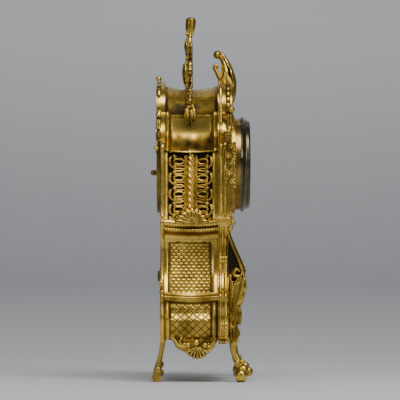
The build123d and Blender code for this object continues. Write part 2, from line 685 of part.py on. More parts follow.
def going_train():
    """The wheels from the going barrel to the escape wheel, the motion work and the pallets."""
    second_phase = mesh((GOING_BARREL, GREAT_TEETH, 0), (SECOND, 12))
    centre_phase = mesh((SECOND, 60, 0), (CENTRE, 12))
    third_phase = mesh((CENTRE, 80, 0), (THIRD, 8))
    escape_phase = mesh((THIRD, 70, 0), (ESCAPE, 7))
    minute_phase = mesh((CENTRE, 12, 0), (MINUTE_STUD, 36))
    hour_phase = mesh((MINUTE_STUD, 10, 0), (CENTRE, 40))
    with BuildPart() as second:
        arbor(SECOND, 0.9)
        toothed(SECOND, 12, 0.5, second_phase, -31.2, -28.8, pinion=True)
        toothed(SECOND, 60, 0.4, 0, *SECOND_LEVEL)
        turned(SECOND, 2.4, -10.6, -9.6)
    hand_in(second, "second_wheel")
    with BuildPart() as centre:
        turned(CENTRE, 1.3, FRONT_PLATE[0] - 0.2, REAR_PLATE[0] - 0.1)
        turned(CENTRE, 0.6, REAR_PLATE[0] - 0.1, REAR_PLATE[1])
        toothed(CENTRE, 12, 0.4, centre_phase, -9.8, -8.2, pinion=True)
        toothed(CENTRE, 80, 0.32, 0, -6.6, -5.4)
        turned(CENTRE, 2.4, -7.6, -6.6)
        turned(CENTRE, 1.1, -50.8, FRONT_PLATE[0] - 0.2)
    hand_in(centre, "centre_wheel")
    with BuildPart() as cannon:
        toothed(CENTRE, 12, 0.4, 0, -38, -36.8, pinion=True)
        turned(CENTRE, 1.8, -51.4, FRONT_PLATE[0] - 0.4)
        turned(CENTRE, 1.1 + PIVOT_CLEARANCE, -52, FRONT_PLATE[0] - 0.3, Mode.SUBTRACT)
    hand_in(cannon, "cannon_pinion")
    with BuildPart() as third:
        arbor(THIRD, 0.9)
        toothed(THIRD, 8, 0.32, third_phase, -6.8, -5.2, pinion=True)
        toothed(THIRD, 70, 0.3, 0, -4, -3)
        turned(THIRD, 2, -5.2, -4)
    hand_in(third, "third_wheel")
    with BuildPart() as escape:
        arbor(ESCAPE, 0.7)
        toothed(ESCAPE, 7, 0.3, escape_phase, -4.2, -2.8, pinion=True)
        with BuildSketch(dial_plane(-19, ESCAPE)):
            with PolarLocations(0, 30):
                Polygon((6.6, -0.4), (9, 0.55), (8.9, 0.8), (6.6, 0.9), align=None)
            Circle(7)
            with PolarLocations(4, 4, start_angle=45):
                Circle(1.5, mode=Mode.SUBTRACT)
        extrude(amount=1)
        turned(ESCAPE, 1.8, -19, -17.6)
    hand_in(escape, "escape_wheel")
    with BuildPart() as minute:
        toothed(MINUTE_STUD, 36, 0.4, minute_phase, -37.9, -36.9)
        toothed(MINUTE_STUD, 10, 0.384, 0, -40, -37.9, pinion=True)
        turned(MINUTE_STUD, 0.8 + PIVOT_CLEARANCE, -41, -36, Mode.SUBTRACT)
    hand_in(minute, "minute_wheel")
    with BuildPart() as hour:
        toothed(CENTRE, 40, 0.384, hour_phase, -39.8, -39)
        turned(CENTRE, 2.6, -49.4, -39)
        turned(CENTRE, 1.8 + PIVOT_CLEARANCE, -50, -38, Mode.SUBTRACT)
    hand_in(hour, "hour_wheel")
    with BuildPart() as pallets:
        turned(ANCHOR, 1, FRONT_PLATE[1] + 0.1, 2.4)
        turned(ANCHOR, 0.6, FRONT_PLATE[0], 5.2)
        turned(ANCHOR, 1.6, -21, -18)
        with BuildSketch(dial_plane(-19, ESCAPE)):
            Circle(11.4)
            Circle(9.9, mode=Mode.SUBTRACT)
            with BuildLine():
                Polyline((-8, 8), (0, 0), (8, 8), (30, 0), (0, -60), (-30, 0), (-8, 8))
            make_face(mode=Mode.SUBTRACT)
            with Locations((0, 11.6)):
                Rectangle(2.4, 2)
        extrude(amount=1)
        turned(ANCHOR, 2.2, 1, 2.2)
        with Locations((0, 1.6, DIAL_Z + 18.5)):
            Box(2.2, 1.2, 30)
        with Locations((0, 5.8, DIAL_Z + 3.6)):
            Box(5.2, 9.6, 2.6)
        with Locations((0, 9, DIAL_Z + 3.6)):
            Box(2.5, 6, 3, mode=Mode.SUBTRACT)
    hand_in(pallets, "pallets_and_crutch")


def strike_train():
    """The wheels from the striking barrel to the fly, the hammer, the bell and its stand."""
    second_phase = mesh((STRIKE_BARREL, GREAT_TEETH, 0), (STRIKE_SECOND, 12))
    pin_phase = mesh((STRIKE_SECOND, 60, 0), (PIN_WHEEL, 8))
    fly_phase = mesh((PIN_WHEEL, 40, 0), (FLY, 7))
    with BuildPart() as second:
        arbor(STRIKE_SECOND, 1.2)
        turned(STRIKE_SECOND, 1, REAR_PLATE[0] - 0.1, 2.4)
        toothed(STRIKE_SECOND, 12, 0.5, second_phase, -31.2, -28.8, pinion=True)
        toothed(STRIKE_SECOND, 60, 0.4, 0, *SECOND_LEVEL)
        with BuildSketch(dial_plane(2.2, STRIKE_SECOND)):
            Circle(13.5)
            with PolarLocations(13.5, 11, start_angle=7):
                Rectangle(2.2, 1.6, mode=Mode.SUBTRACT)
            with PolarLocations(7.4, 4):
                Circle(3, mode=Mode.SUBTRACT)
        extrude(amount=1)
    hand_in(second, "strike_second_wheel")
    with BuildPart() as pins:
        arbor(PIN_WHEEL, 0.9)
        toothed(PIN_WHEEL, 8, 0.4, pin_phase, -9.8, -8.2, pinion=True)
        toothed(PIN_WHEEL, 40, 0.4, 0, -16, -15)
        turned(PIN_WHEEL, 2, -17, -16)
        with BuildSketch(dial_plane(-16, PIN_WHEEL)):
            with PolarLocations(6.6, 8):
                Circle(0.4)
        extrude(amount=2)
    hand_in(pins, "pin_wheel")
    with BuildPart() as fly:
        arbor(FLY, 0.8)
        toothed(FLY, 7, 0.4, fly_phase, -16.2, -14.8, pinion=True)
        with Locations((FLY[0], -27.5, DIAL_Z + FLY[1])):
            Box(10, 9, 0.5)
        turned(FLY, 1.4, -32, -23)
    hand_in(fly, "fly")
    head = (HAMMER[0] - 4.5, HAMMER[1] + 28)
    with BuildPart() as hammer:
        arbor(HAMMER, 1)
        turned(HAMMER, 1, REAR_PLATE[0] - 0.1, 18)
        turned(HAMMER, 2.4, 15.6, 17.4)
        with BuildSketch(dial_plane(17.4, HAMMER)):
            Polygon((-1.2, 0), (1.2, 0), (-3.4, 26), (-5.6, 26), align=None)
        extrude(amount=1.8)
        turned(head, 3.5, 14.5, 20.5)
    hand_in(hammer, "hammer")
    with BuildPart() as bell:
        with BuildSketch(Plane.XY.offset(DIAL_Z)):
            with BuildLine():
                Polyline((30, 16), (28.4, 16))
                Spline((28.4, 16), (26.6, 22), (20, 27.4), (3, 29))
                Polyline((3, 29), (1.5, 29), (1.5, 30.8), (3, 30.8))
                Spline((3, 30.8), (21, 29.2), (28.4, 23), (30, 16))
            make_face()
        revolve(axis=Axis((0, 0, DIAL_Z), (0, 1, 0)))
    hand_in(bell, "bell")
    with BuildPart() as stand:
        turned((-12, -24), 2, REAR_PLATE[1], 14)
        with BuildSketch(dial_plane(15, CENTRE)):
            Polygon((-13.8, -25), (-10.2, -25), (2.6, 0), (0, 2.6), (-2.6, 0), align=None)
        extrude(amount=2)
        turned(CENTRE, 2.4, 15, 29)
        turned(CENTRE, 1.5, 29, 32)
        turned(CENTRE, 3, 30.8, 33.4)
    hand_in(stand, "bell_stand")


def pendulum():
    """The cock behind the movement with its stud, and the pendulum whose eye hangs on the stud."""
    stud = 1.0
    with BuildPart() as cock:
        with Locations((0, 4.2, DIAL_Z + ANCHOR[1])):
            Box(22, 2, 6)
        for x in (-9, 9):
            turned((x, ANCHOR[1]), 1.8, REAR_PLATE[1], 3.2)
        turned(ANCHOR, stud, 5.2, 10.2)
        turned(ANCHOR, 1.8, 10.2, 11)
        turned(ANCHOR, 0.6 + PIVOT_CLEARANCE, 3.2, 5.2, Mode.SUBTRACT)
    hand_in(cock, "back_cock")
    with BuildPart() as rod:
        turned(ANCHOR, 2.6, PENDULUM_Y - 0.8, PENDULUM_Y + 0.8)
        upright_pin(0, PENDULUM_Y, 1.2, ANCHOR[1] - PENDULUM_LENGTH - 26, ANCHOR[1] - 1.5)
        turned(ANCHOR, stud + PIVOT_CLEARANCE, PENDULUM_Y - 2, PENDULUM_Y + 2, Mode.SUBTRACT)
    hand_in(rod, "pendulum_rod")
    bob_low = ANCHOR[1] - PENDULUM_LENGTH
    bob_z = DIAL_Z + bob_low
    face_radius = 38.25
    with BuildPart() as bob:
        with Locations((0, PENDULUM_Y + face_radius - 4.5, bob_z)):
            Sphere(face_radius)
        with Locations((0, PENDULUM_Y - face_radius + 4.5, bob_z)):
            Sphere(face_radius, mode=Mode.INTERSECT)
        upright_pin(0, PENDULUM_Y, 1.2, bob_low - 20, bob_low + 20, Mode.SUBTRACT)
    hand_in(bob, "pendulum_bob")
    with BuildPart() as nut:
        upright_pin(0, PENDULUM_Y, 3, bob_low - 21.6, bob_low - 18.4)
        upright_pin(0, PENDULUM_Y, 1.2, bob_low - 22, bob_low - 18, Mode.SUBTRACT)
    hand_in(nut, "rating_nut")


side_walls()
sound_frets()
waist_mouldings()
lower_sides()
side_aprons()
roof_dome()
roof_shoulders()
roof_crest()
back_casting()
back_border()
front_casting()
front_mouldings()
front_crest()
front_apron()
front_legs()
tie_rods()
bezel_seat()
bezel()
back_door()
dial()
hands()
plates()
straps()
barrel(GOING_BARREL, "going_barrel", "going_winding_arbor", 0)
barrel(STRIKE_BARREL, "strike_barrel", "strike_winding_arbor", 0)
going_train()
strike_train()
pendulum()
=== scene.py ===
"""The looks of a gilt bronze rococo mantel clock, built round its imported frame."""

import json
import math

import bpy
import numpy as np
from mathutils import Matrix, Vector


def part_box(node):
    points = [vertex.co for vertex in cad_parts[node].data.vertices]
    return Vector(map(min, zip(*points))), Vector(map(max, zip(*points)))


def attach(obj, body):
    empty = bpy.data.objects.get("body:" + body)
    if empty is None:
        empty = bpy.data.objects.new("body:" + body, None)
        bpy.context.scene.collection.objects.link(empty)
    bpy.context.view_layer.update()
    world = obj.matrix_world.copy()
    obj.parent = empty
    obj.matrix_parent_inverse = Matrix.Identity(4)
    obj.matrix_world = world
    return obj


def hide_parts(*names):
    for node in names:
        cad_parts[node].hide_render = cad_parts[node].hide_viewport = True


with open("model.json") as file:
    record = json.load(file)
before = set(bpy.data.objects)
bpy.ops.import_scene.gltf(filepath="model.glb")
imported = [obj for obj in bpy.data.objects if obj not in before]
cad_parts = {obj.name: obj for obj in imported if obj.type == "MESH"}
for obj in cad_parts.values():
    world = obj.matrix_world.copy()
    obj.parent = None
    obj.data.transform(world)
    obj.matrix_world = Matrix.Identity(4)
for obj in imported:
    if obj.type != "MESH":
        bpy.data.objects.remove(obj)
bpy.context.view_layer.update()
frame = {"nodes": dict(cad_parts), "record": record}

MM = 0.001
PI, TAU = math.pi, 2 * math.pi

# ---- where things are, in millimetres, read from the frame ------------------------------------


def extent(node):
    """The lowest and highest corners of a CAD node, in millimetres."""
    low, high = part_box(node)
    return np.array(low) / MM, np.array(high) / MM


DIAL_LOW, DIAL_HIGH = extent("dial")
DIAL_Z = (DIAL_LOW[2] + DIAL_HIGH[2]) / 2
CASE_FRONT, CASE_BACK = extent("left_upper_side")[0][1], extent("left_upper_side")[1][1]
MIDDLE = (CASE_FRONT + CASE_BACK) / 2
HALF_DEPTH = (CASE_BACK - CASE_FRONT) / 2
EAVE = extent("left_upper_side")[1][2]
FOOT_MIDDLE = (extent("left_front_leg")[0][0] + extent("left_front_leg")[1][0]) / 2
CREST_TOP = extent("roof_crest")[1][2]


# ---- shapes -----------------------------------------------------------------------------------
def outward(points, faces):
    """The faces, turned over if the closed surface they make is inside out."""
    a, b, c, d = (points[faces[:, k]] for k in range(4))
    volume = np.einsum("ij,ij->", a, np.cross(b, c)) + np.einsum("ij,ij->", a, np.cross(c, d))
    return faces if volume > 0 else faces[:, ::-1]


def smooth(points, count):
    """A Catmull-Rom curve through the points, sampled at a number of evenly spaced parameters."""
    p = np.asarray(points, float)
    p = np.vstack([2 * p[0] - p[1], p, 2 * p[-1] - p[-2]])
    t = np.linspace(0, len(p) - 3 - 1e-9, count)
    k = t.astype(int)
    f = (t - k)[:, None]
    a, b, c, d = p[k], p[k + 1], p[k + 2], p[k + 3]
    square, cube = 2 * a - 5 * b + 4 * c - d, 3 * b - a - 3 * c + d
    return 0.5 * (2 * b + (c - a) * f + square * f ** 2 + cube * f ** 3)


def curl(end, before, radius, turns, hand):
    """Points that carry a plane path on into a volute, winding in to the left (+1) or right (-1)."""
    end, before = np.asarray(end, float), np.asarray(before, float)
    ahead = (end - before) / np.linalg.norm(end - before)
    centre = end + hand * radius * np.array([-ahead[1], ahead[0]])
    start = math.atan2(*(end - centre)[::-1])
    t = np.linspace(0, 1, int(12 * turns) + 2)[1:, None]
    angle = start + hand * TAU * turns * t
    return centre + radius * (1 - 0.7 * t) * np.hstack([np.cos(angle), np.sin(angle)])


def scroll(points, count, first=None, last=None):
    """A plane path with a volute on either end; each volute is (radius, turns, hand) or None."""
    path = np.asarray(points, float)
    if last:
        path = np.vstack([path, curl(path[-1], path[-2], *last)])
    if first:
        path = np.vstack([curl(path[0], path[1], *first)[::-1], path])
    return smooth(path, count)


def in_yz(path, x):
    """A plane path of (y, z) points stood at depth x; x may vary along it."""
    return np.column_stack([np.broadcast_to(x, len(path)), path[:, 0], path[:, 1]])


def in_xz(path, y):
    """A plane path of (x, z) points stood at depth y; y may vary along it."""
    return np.column_stack([path[:, 0], np.broadcast_to(y, len(path)), path[:, 1]])


def loop_faces(rings, sides, closed=False):
    """Quads round a tube of rings, with a ladder of quads closing each end, or the ends joined."""
    ring, side = np.arange(rings if closed else rings - 1)[:, None], np.arange(sides)[None]
    a, b = ring * sides + side, ring * sides + (side + 1) % sides
    on = sides - rings * sides * (ring == rings - 1)
    quads = np.stack([a, b, b + on, a + on], -1).reshape(-1, 4)
    if closed:
        return quads
    k = np.arange(sides // 2 - 1)
    ladder = np.stack([k, sides - 1 - k, sides - 2 - k, k + 1], -1)
    return np.vstack([quads, ladder, (rings - 1) * sides + ladder[:, ::-1]])


def unit(v):
    """Vectors scaled to length one."""
    return v / (np.linalg.norm(v, axis=-1, keepdims=True) + 1e-9)


def frames(path, out, closed=False):
    """Across and outward unit vectors at each point of a path, outward being as near to out as it can."""
    ahead = unit(np.roll(path, -1, 0) - np.roll(path, 1, 0) if closed else np.gradient(path, axis=0))
    across = unit(np.cross(np.broadcast_to(np.asarray(out, float), path.shape), ahead))
    return across, np.cross(ahead, across)


def sweep(path, wide, deep, out, sides=12, ripple=None, closed=False):
    """A bar along a path: an oval of half sizes wide (across) and deep (outward) at each point, times one
    plus a ripple of (distance along, angle round); open ends are drawn in to a round."""
    n = len(path)
    u = np.linspace(0, 1, n)
    wide, deep = (np.interp(u, np.linspace(0, 1, np.size(r)), np.ravel(r)) for r in (wide, deep))
    if not closed:
        nose = np.sqrt(1 - np.clip(1 - np.minimum(u, 1 - u) * n / 3.0, 0, 0.97) ** 2)
        wide, deep = wide * nose, deep * nose
    across, proud = frames(path, out, closed)
    angle = np.linspace(0, TAU, sides, endpoint=False)
    swell = np.ones((n, sides)) + (0 if ripple is None else ripple(u[:, None], angle[None]))
    points = (path[:, None] + across[:, None] * (wide[:, None] * np.cos(angle) * swell)[..., None]
              + proud[:, None] * (deep[:, None] * np.sin(angle) * swell)[..., None])
    sunk = np.clip((1 - swell) * 5, 0, 1)
    return points.reshape(-1, 3), loop_faces(n, sides, closed), sunk.ravel()


def slab(outer, inner, hollow, keep=None):
    """A sheet of metal between two grids of points, closed round its edges and round its openings."""
    nu, nv = outer.shape[:2]
    index = np.arange(nu * nv).reshape(nu, nv)
    back = index + nu * nv
    keep = np.ones((nu - 1, nv - 1), bool) if keep is None else keep
    quads = np.stack([index[:-1, :-1], index[1:, :-1], index[1:, 1:], index[:-1, 1:]], -1)
    faces = [quads[keep], (quads + nu * nv)[keep][:, ::-1]]
    padded = np.pad(keep, 1)
    for low, high, a, b in (
        (padded[1:-1, :-1], padded[1:-1, 1:], (index[:-1], back[:-1]), (index[1:], back[1:])),
        (padded[1:, 1:-1], padded[:-1, 1:-1], (index[:, :-1], back[:, :-1]), (index[:, 1:], back[:, 1:])),
    ):
        for edge, (p, q) in ((high & ~low, (b, a)), (low & ~high, (a, b))):
            faces.append(np.stack([p[0][edge], q[0][edge], q[1][edge], p[1][edge]], -1))
    shade = np.concatenate([np.broadcast_to(hollow, (nu, nv)).ravel(), np.full(nu * nv, 0.75)])
    return np.concatenate([outer.reshape(-1, 3), inner.reshape(-1, 3)]), np.vstack(faces), shade


def balls(centres, radii, sides=14, squash=(1, 1, 1)):
    """Round beads: rings of a sphere about an upright axis, drawn in to small flats at the poles."""
    centres = np.atleast_2d(np.asarray(centres, float))
    radii = np.broadcast_to(radii, len(centres))
    rings = sides // 2 + 1
    rise = np.linspace(-PI / 2 + 0.12, PI / 2 - 0.12, rings)
    angle = np.linspace(0, TAU, sides, endpoint=False)
    round_ = np.stack([np.outer(np.cos(rise), np.cos(angle)), np.outer(np.cos(rise), np.sin(angle)),
                       np.outer(np.sin(rise), np.ones(sides))], -1).reshape(-1, 3) * np.asarray(squash)
    points = (centres[:, None] + round_[None] * radii[:, None, None]).reshape(-1, 3)
    start = np.arange(len(centres))[:, None, None] * len(round_)
    return points, (loop_faces(rings, sides)[None] + start).reshape(-1, 4), np.zeros(len(points))


def leaf(rib, width, out, crown=0.35, lobes=4, thick=1.2, rows=28, columns=13, veins=0.3):
    """An acanthus leaf: a sheet along a midrib, its edge cut in rounded lobes, its back crowned across
    and channelled by veins that run out from the midrib."""
    rib = smooth(rib, rows)
    u, v = np.linspace(0, 1, rows)[:, None], np.linspace(-1, 1, columns)[None]
    across, back = frames(rib, out)
    shape = np.sin(np.clip(u * 0.93 + 0.07, 0, 1) * PI) ** 0.6
    lobe = 0.74 + 0.26 * np.abs(np.cos(lobes * PI * (u - 0.1 * np.abs(v))))
    vein = np.cos(TAU * lobes * (u - 0.22 * np.abs(v))) * (1 - (1 - np.abs(v)) ** 2)
    midrib = np.exp(-(v / 0.16) ** 2) + 0 * u
    height = width * (crown * (1 - v ** 2) + 0.09 * veins * vein - 0.12 * midrib)
    outer = (rib[:, None] + across[:, None] * (width * shape * lobe * v)[..., None]
             + back[:, None] * height[..., None])
    inner = outer - back[:, None] * thick
    return slab(outer, inner, np.clip(0.1 - veins * vein + (0.2 + veins) * midrib, 0, 1))


def shell(centre, radius, start, stop, flutes, place, lift=4.0, thick=1.6):
    """A scallop: a fan of flutes between two angles, its rim rounded at the end of each flute; place
    turns plane (a, b) points and a height into space."""
    rows, columns = 16, flutes * 8 + 1
    r, w = np.linspace(0.06, 1, rows)[:, None], np.linspace(0, 1, columns)[None]
    ridge = np.abs(np.sin(PI * flutes * w))
    angle = start + (stop - start) * w
    reach = radius * r * (0.84 + 0.16 * ridge * r)
    height = lift * np.sin(PI * (0.12 + 0.75 * r)) * (0.45 + 0.55 * ridge * r) + 0.4
    a, b = centre[0] + reach * np.cos(angle), centre[1] + reach * np.sin(angle)
    hollow = np.clip(1 - ridge * 1.5, 0, 1) * np.ones_like(r)
    return slab(place(a, b, height), place(a, b, height - thick), hollow)


def mirrored(shape):
    """The same shape on the clock's other side."""
    points, faces, hollow = shape
    return points * [-1, 1, 1], faces[:, ::-1], hollow


def join(shapes):
    """Several closed shapes as one mesh, each facing outward."""
    points, faces, hollow, start = [], [], [], 0
    for p, f, h in shapes:
        points.append(p)
        faces.append(outward(p, f) + start)
        hollow.append(h)
        start += len(p)
    return np.concatenate(points), np.concatenate(faces), np.concatenate(hollow)


def piece(name, shapes, finish, body="case", slot="gilt_bronze", stands_for=()):
    """Makes the object, in metres, with its recesses marked for the tarnish to settle in and some surfaces
    marked for painted shade.
    """
    points, faces, hollow = join(shapes)
    data = bpy.data.meshes.new(name)
    data.vertices.add(len(points))
    data.vertices.foreach_set("co", (points * MM).ravel())
    data.loops.add(faces.size)
    data.loops.foreach_set("vertex_index", faces.ravel())
    data.polygons.add(len(faces))
    data.polygons.foreach_set("loop_start", np.arange(0, faces.size, 4))
    data.polygons.foreach_set("use_smooth", np.ones(len(faces), bool))
    data.update(calc_edges=True)
    data.attributes.new("hollow", "FLOAT", "POINT").data.foreach_set("value", hollow)
    data.materials.append(finish)
    made = bpy.data.objects.new(name, data)
    bpy.context.collection.objects.link(made)
    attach(made, body)
    if stands_for:
        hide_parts(*stands_for)
    return made


def pair(name, shapes, finish, stands_for=(), **more):
    """The left and right pieces of a matching pair; shapes are those on the left (-X) side."""
    left = piece("left_" + name, shapes, finish, stands_for=["left_" + n for n in stands_for], **more)
    right = piece("right_" + name, [mirrored(s) for s in shapes], finish,
                  stands_for=["right_" + n for n in stands_for], **more)
    return left, right


# ---- materials --------------------------------------------------------------------------------
def hue(code, alpha=1.0):
    """A colour written as six hex digits, in the linear values that a shader takes."""
    parts = [int(code[k:k + 2], 16) / 255 for k in (0, 2, 4)]
    return tuple(c / 12.92 if c <= 0.04045 else ((c + 0.055) / 1.055) ** 2.4 for c in parts) + (alpha,)


def node(tree, kind, inputs=None, **settings):
    """Adds a node, sets its properties and its inputs; a socket given as an input is linked to it."""
    made = tree.nodes.new(kind)
    for key, value in settings.items():
        setattr(made, key, value)
    for key, value in (inputs or {}).items():
        if isinstance(value, bpy.types.NodeSocket):
            tree.links.new(value, made.inputs[key])
        else:
            made.inputs[key].default_value = value
    return made


def ramp(tree, value, stops, mode="LINEAR"):
    """A colour ramp over (position, colour) stops."""
    made = node(tree, "ShaderNodeValToRGB", {"Fac": value})
    made.color_ramp.interpolation = mode
    elements = made.color_ramp.elements
    while len(elements) < len(stops):
        elements.new(0.5)
    for element, (position, colour) in zip(elements, stops):
        element.position, element.color = position, colour
    return made.outputs["Color"]


def grey(level):
    """A grey, for a ramp that carries a number."""
    return (level, level, level, 1)


def blank(name):
    """A material with its principled shader, its tree and the object's own coordinates."""
    made = bpy.data.materials.new(name)
    made.use_nodes = True
    tree = made.node_tree
    shader = tree.nodes["Principled BSDF"]
    place = node(tree, "ShaderNodeTexCoord").outputs["Object"]
    return made, tree, shader, place


def noise(tree, place, scale, detail=4.0, rough=0.55):
    """Cloudy noise, scale in patches per metre."""
    return node(tree, "ShaderNodeTexNoise", {"Vector": place, "Scale": scale, "Detail": detail,
                                             "Roughness": rough}).outputs["Fac"]


def maths(tree, operation, a, b=0.5, c=0.5, clamp=False):
    """One arithmetic node."""
    made = node(tree, "ShaderNodeMath", operation=operation, use_clamp=clamp)
    for socket, value in zip(made.inputs, (a, b, c)):
        if isinstance(value, bpy.types.NodeSocket):
            tree.links.new(value, socket)
        else:
            socket.default_value = value
    return made.outputs[0]


def gilding(name, bright, worn, dark, polish=0.24, grime_and_shade=1.0, bump=0.35):
    """Mercury-gilt cast bronze: bright on the proud metal, browner where the gilding has worn, and dark
    where a piece's hollow value is high: old wax and soot in the recesses, and painted shade on some
    surfaces."""
    made, tree, shader, place = blank(name)
    patches = noise(tree, place, 38, 5)
    speckle = noise(tree, place, 420, 5, 0.65)
    hollow = node(tree, "ShaderNodeAttribute", attribute_name="hollow").outputs["Fac"]
    clouds = maths(tree, "MULTIPLY_ADD", patches, 1.3, -0.42)
    # The hollow value brings in dark tarnish in recesses and, on some pieces, painted shade.
    stain_and_shade = maths(tree, "MULTIPLY_ADD", hollow, 1.15 * grime_and_shade, clouds)
    stain_and_shade = maths(tree, "MULTIPLY_ADD", speckle, 0.42, maths(tree, "ADD", stain_and_shade, -0.19))
    colour = ramp(tree, stain_and_shade, [(0.10, hue(bright)), (0.52, hue(worn)), (1.0, hue(dark))])
    rough = ramp(tree, stain_and_shade, [(0.1, grey(polish)), (0.6, grey(polish + 0.13)), (1.0, grey(0.62))])
    metal = ramp(tree, stain_and_shade, [(0.7, grey(1.0)), (1.0, grey(0.85))])
    grain = node(tree, "ShaderNodeBump", {"Height": speckle, "Strength": bump, "Distance": 0.0004})
    pits = node(tree, "ShaderNodeBump", {"Height": noise(tree, place, 1500, 2), "Strength": bump * 0.5,
                                         "Distance": 0.0001, "Normal": grain.outputs["Normal"]})
    tree.links.new(colour, shader.inputs["Base Color"])
    tree.links.new(rough, shader.inputs["Roughness"])
    tree.links.new(metal, shader.inputs["Metallic"])
    tree.links.new(pits.outputs["Normal"], shader.inputs["Normal"])
    return made


def turned_metal(name, bright, dark, rough=0.25, turns=900):
    """Lathe-turned or rolled sheet metal with fine parallel tool marks and faint fingerprints."""
    made, tree, shader, place = blank(name)
    stretched = node(tree, "ShaderNodeMapping", {"Vector": place, "Scale": (1.0, 9.0, 1.0)}).outputs["Vector"]
    marks = noise(tree, stretched, turns, 2)
    smears = noise(tree, place, 55, 4)
    tree.links.new(ramp(tree, smears, [(0.3, hue(dark)), (0.62, hue(bright))]), shader.inputs["Base Color"])
    tree.links.new(ramp(tree, marks, [(0.2, grey(rough * 0.8)), (0.8, grey(rough * 1.35))]),
                   shader.inputs["Roughness"])
    tool = node(tree, "ShaderNodeBump", {"Height": marks, "Strength": 0.12, "Distance": 0.0001})
    tree.links.new(tool.outputs["Normal"], shader.inputs["Normal"])
    shader.inputs["Metallic"].default_value = 1.0
    return made


def enamel(name):
    """Fired white enamel, faintly uneven and with a hair of grey where it pooled."""
    made, tree, shader, place = blank(name)
    pool = noise(tree, place, 120, 3)
    white = ramp(tree, pool, [(0.3, hue("E9E5D6")), (0.7, hue("F4F1E6"))])
    tree.links.new(white, shader.inputs["Base Color"])
    tree.links.new(ramp(tree, pool, [(0.2, grey(0.10)), (0.8, grey(0.2))]), shader.inputs["Roughness"])
    orange = node(tree, "ShaderNodeBump", {"Height": pool, "Strength": 0.08, "Distance": 0.0005})
    tree.links.new(orange.outputs["Normal"], shader.inputs["Normal"])
    return made


def clear_glass(name):
    """Old crown glass, clear with a grey-green cast and slow ripples."""
    made, tree, shader, place = blank(name)
    ripple = node(tree, "ShaderNodeBump", {"Height": noise(tree, place, 30, 2), "Strength": 0.05,
                                           "Distance": 0.001})
    tree.links.new(ripple.outputs["Normal"], shader.inputs["Normal"])
    tree.links.new(ramp(tree, noise(tree, place, 60, 2), [(0.3, grey(0.02)), (0.7, grey(0.05))]),
                   shader.inputs["Roughness"])
    shader.inputs["Base Color"].default_value = hue("C3CFC3")
    shader.inputs["Transmission Weight"].default_value = 1.0
    shader.inputs["Alpha"].default_value = 0.4
    shader.inputs["IOR"].default_value = 1.5
    return made


gilt = gilding("gilt_bronze", "F0CC62", "9A7A2E", "2C2414")
seat_metal = gilding("bezel_seat_bronze", "B5914A", "80642F", "2A2113", polish=0.24, bump=0.08)
bezel_metal = gilding("bezel_bronze", "6E6B50", "4A4838", "23241D", polish=0.24, bump=0.05)
brass = turned_metal("movement_brass", "D9B25A", "B98F3F")
old_brass = turned_metal("plain_brass", "9C8144", "6E5A30", rough=0.36, turns=500)
steel = turned_metal("bright_steel", "B9BABD", "8F9094", rough=0.28)
blued = turned_metal("blued_steel", "25324F", "131A30", rough=0.2)
iron = turned_metal("dark_iron", "4A463F", "2B2824", rough=0.5)
# Painted shade: a dark brown sheet for the shaded inside of the case behind the sound openings.
painted_shade_backing = turned_metal("painted_shade_backing_sheet", "6A5330", "33261A", rough=0.6, turns=2600)
bell_bronze = turned_metal("bell_metal", "E0C48C", "C3A468", rough=0.18)
white_enamel = enamel("enamel")
glass = clear_glass("glass")

SLOT_FINISH = {"gilt_bronze": gilt, "bezel_bronze": bezel_metal, "plain_brass": old_brass, "dial_gilt": gilt,
               "movement_brass": brass, "enamel": white_enamel, "blued_steel": blued, "steel": steel,
               "dark_iron": iron, "bell_metal": bell_bronze, "glass": glass}
for part in frame["record"]["subparts"]:
    carried = frame["nodes"][part["node"]]
    finish = seat_metal if part["node"] == "bezel_seat" else SLOT_FINISH[part["material_slot"]]
    for k in range(len(carried.material_slots)):
        carried.material_slots[k].material = finish

# ---- the sides of the case --------------------------------------------------------------------
LEFT, FRONT = (-1, 0, 0), (0, -1, 0)


def wall(levels, sunk):
    """The half width of a wall as a function of (y, z): a smooth curve up its height, less a hollow
    in plan that is deepest half way back."""
    curve = smooth(sorted(levels), 90)
    return lambda y, z: (np.interp(z, curve[:, 0], curve[:, 1])
                         - sunk * (1 - ((y - MIDDLE) / HALF_DEPTH) ** 2))


def step(x, at, width=0.7):
    """A soft step from 0 to 1."""
    return 1 / (1 + np.exp(-np.clip((x - at) / width * 4, -30, 30)))


def between(x, low, high, width=0.7):
    """Soft 1 between two places."""
    return step(x, low, width) * (1 - step(x, high, width))


def panel(face, low, high, relief, rows, columns=118, thick=3.0, keep=None):
    """A side of the case on the left: its wall plus a relief, a function of (y, z) that gives height
    and hollowness."""
    z, y = np.meshgrid(np.linspace(low, high, rows), np.linspace(CASE_FRONT, CASE_BACK, columns),
                       indexing="ij")
    height, hollow = relief(y, z)
    half = face(y, z)
    outer, inner = np.stack([-half - height, y, z], -1), np.stack([-half + thick, y, z], -1)
    return slab(outer, inner, hollow, None if keep is None else keep(y, z)[:-1, :-1])


def on(face, path, lift=0.0):
    """A plane (y, z) path laid on a wall of the left side."""
    return np.column_stack([-face(path[:, 0], path[:, 1]) - lift, path])


upper = wall([(190, 103), (196, 102), (206, 99.5), (220, 98.5), (245, 98.2), (265, 97), (280, 94.5)], 4.5)
lower = wall([(176, 95), (160, 93.5), (145, 94.5), (130, 98), (117, 105), (107, 111.5)], 3.0)
base = wall([(108, 113.5), (102, 117), (95, 115), (86, 118.5), (77, 120.5), (68, 119.5), (58, 114.5),
             (51, 109)], 2.0)


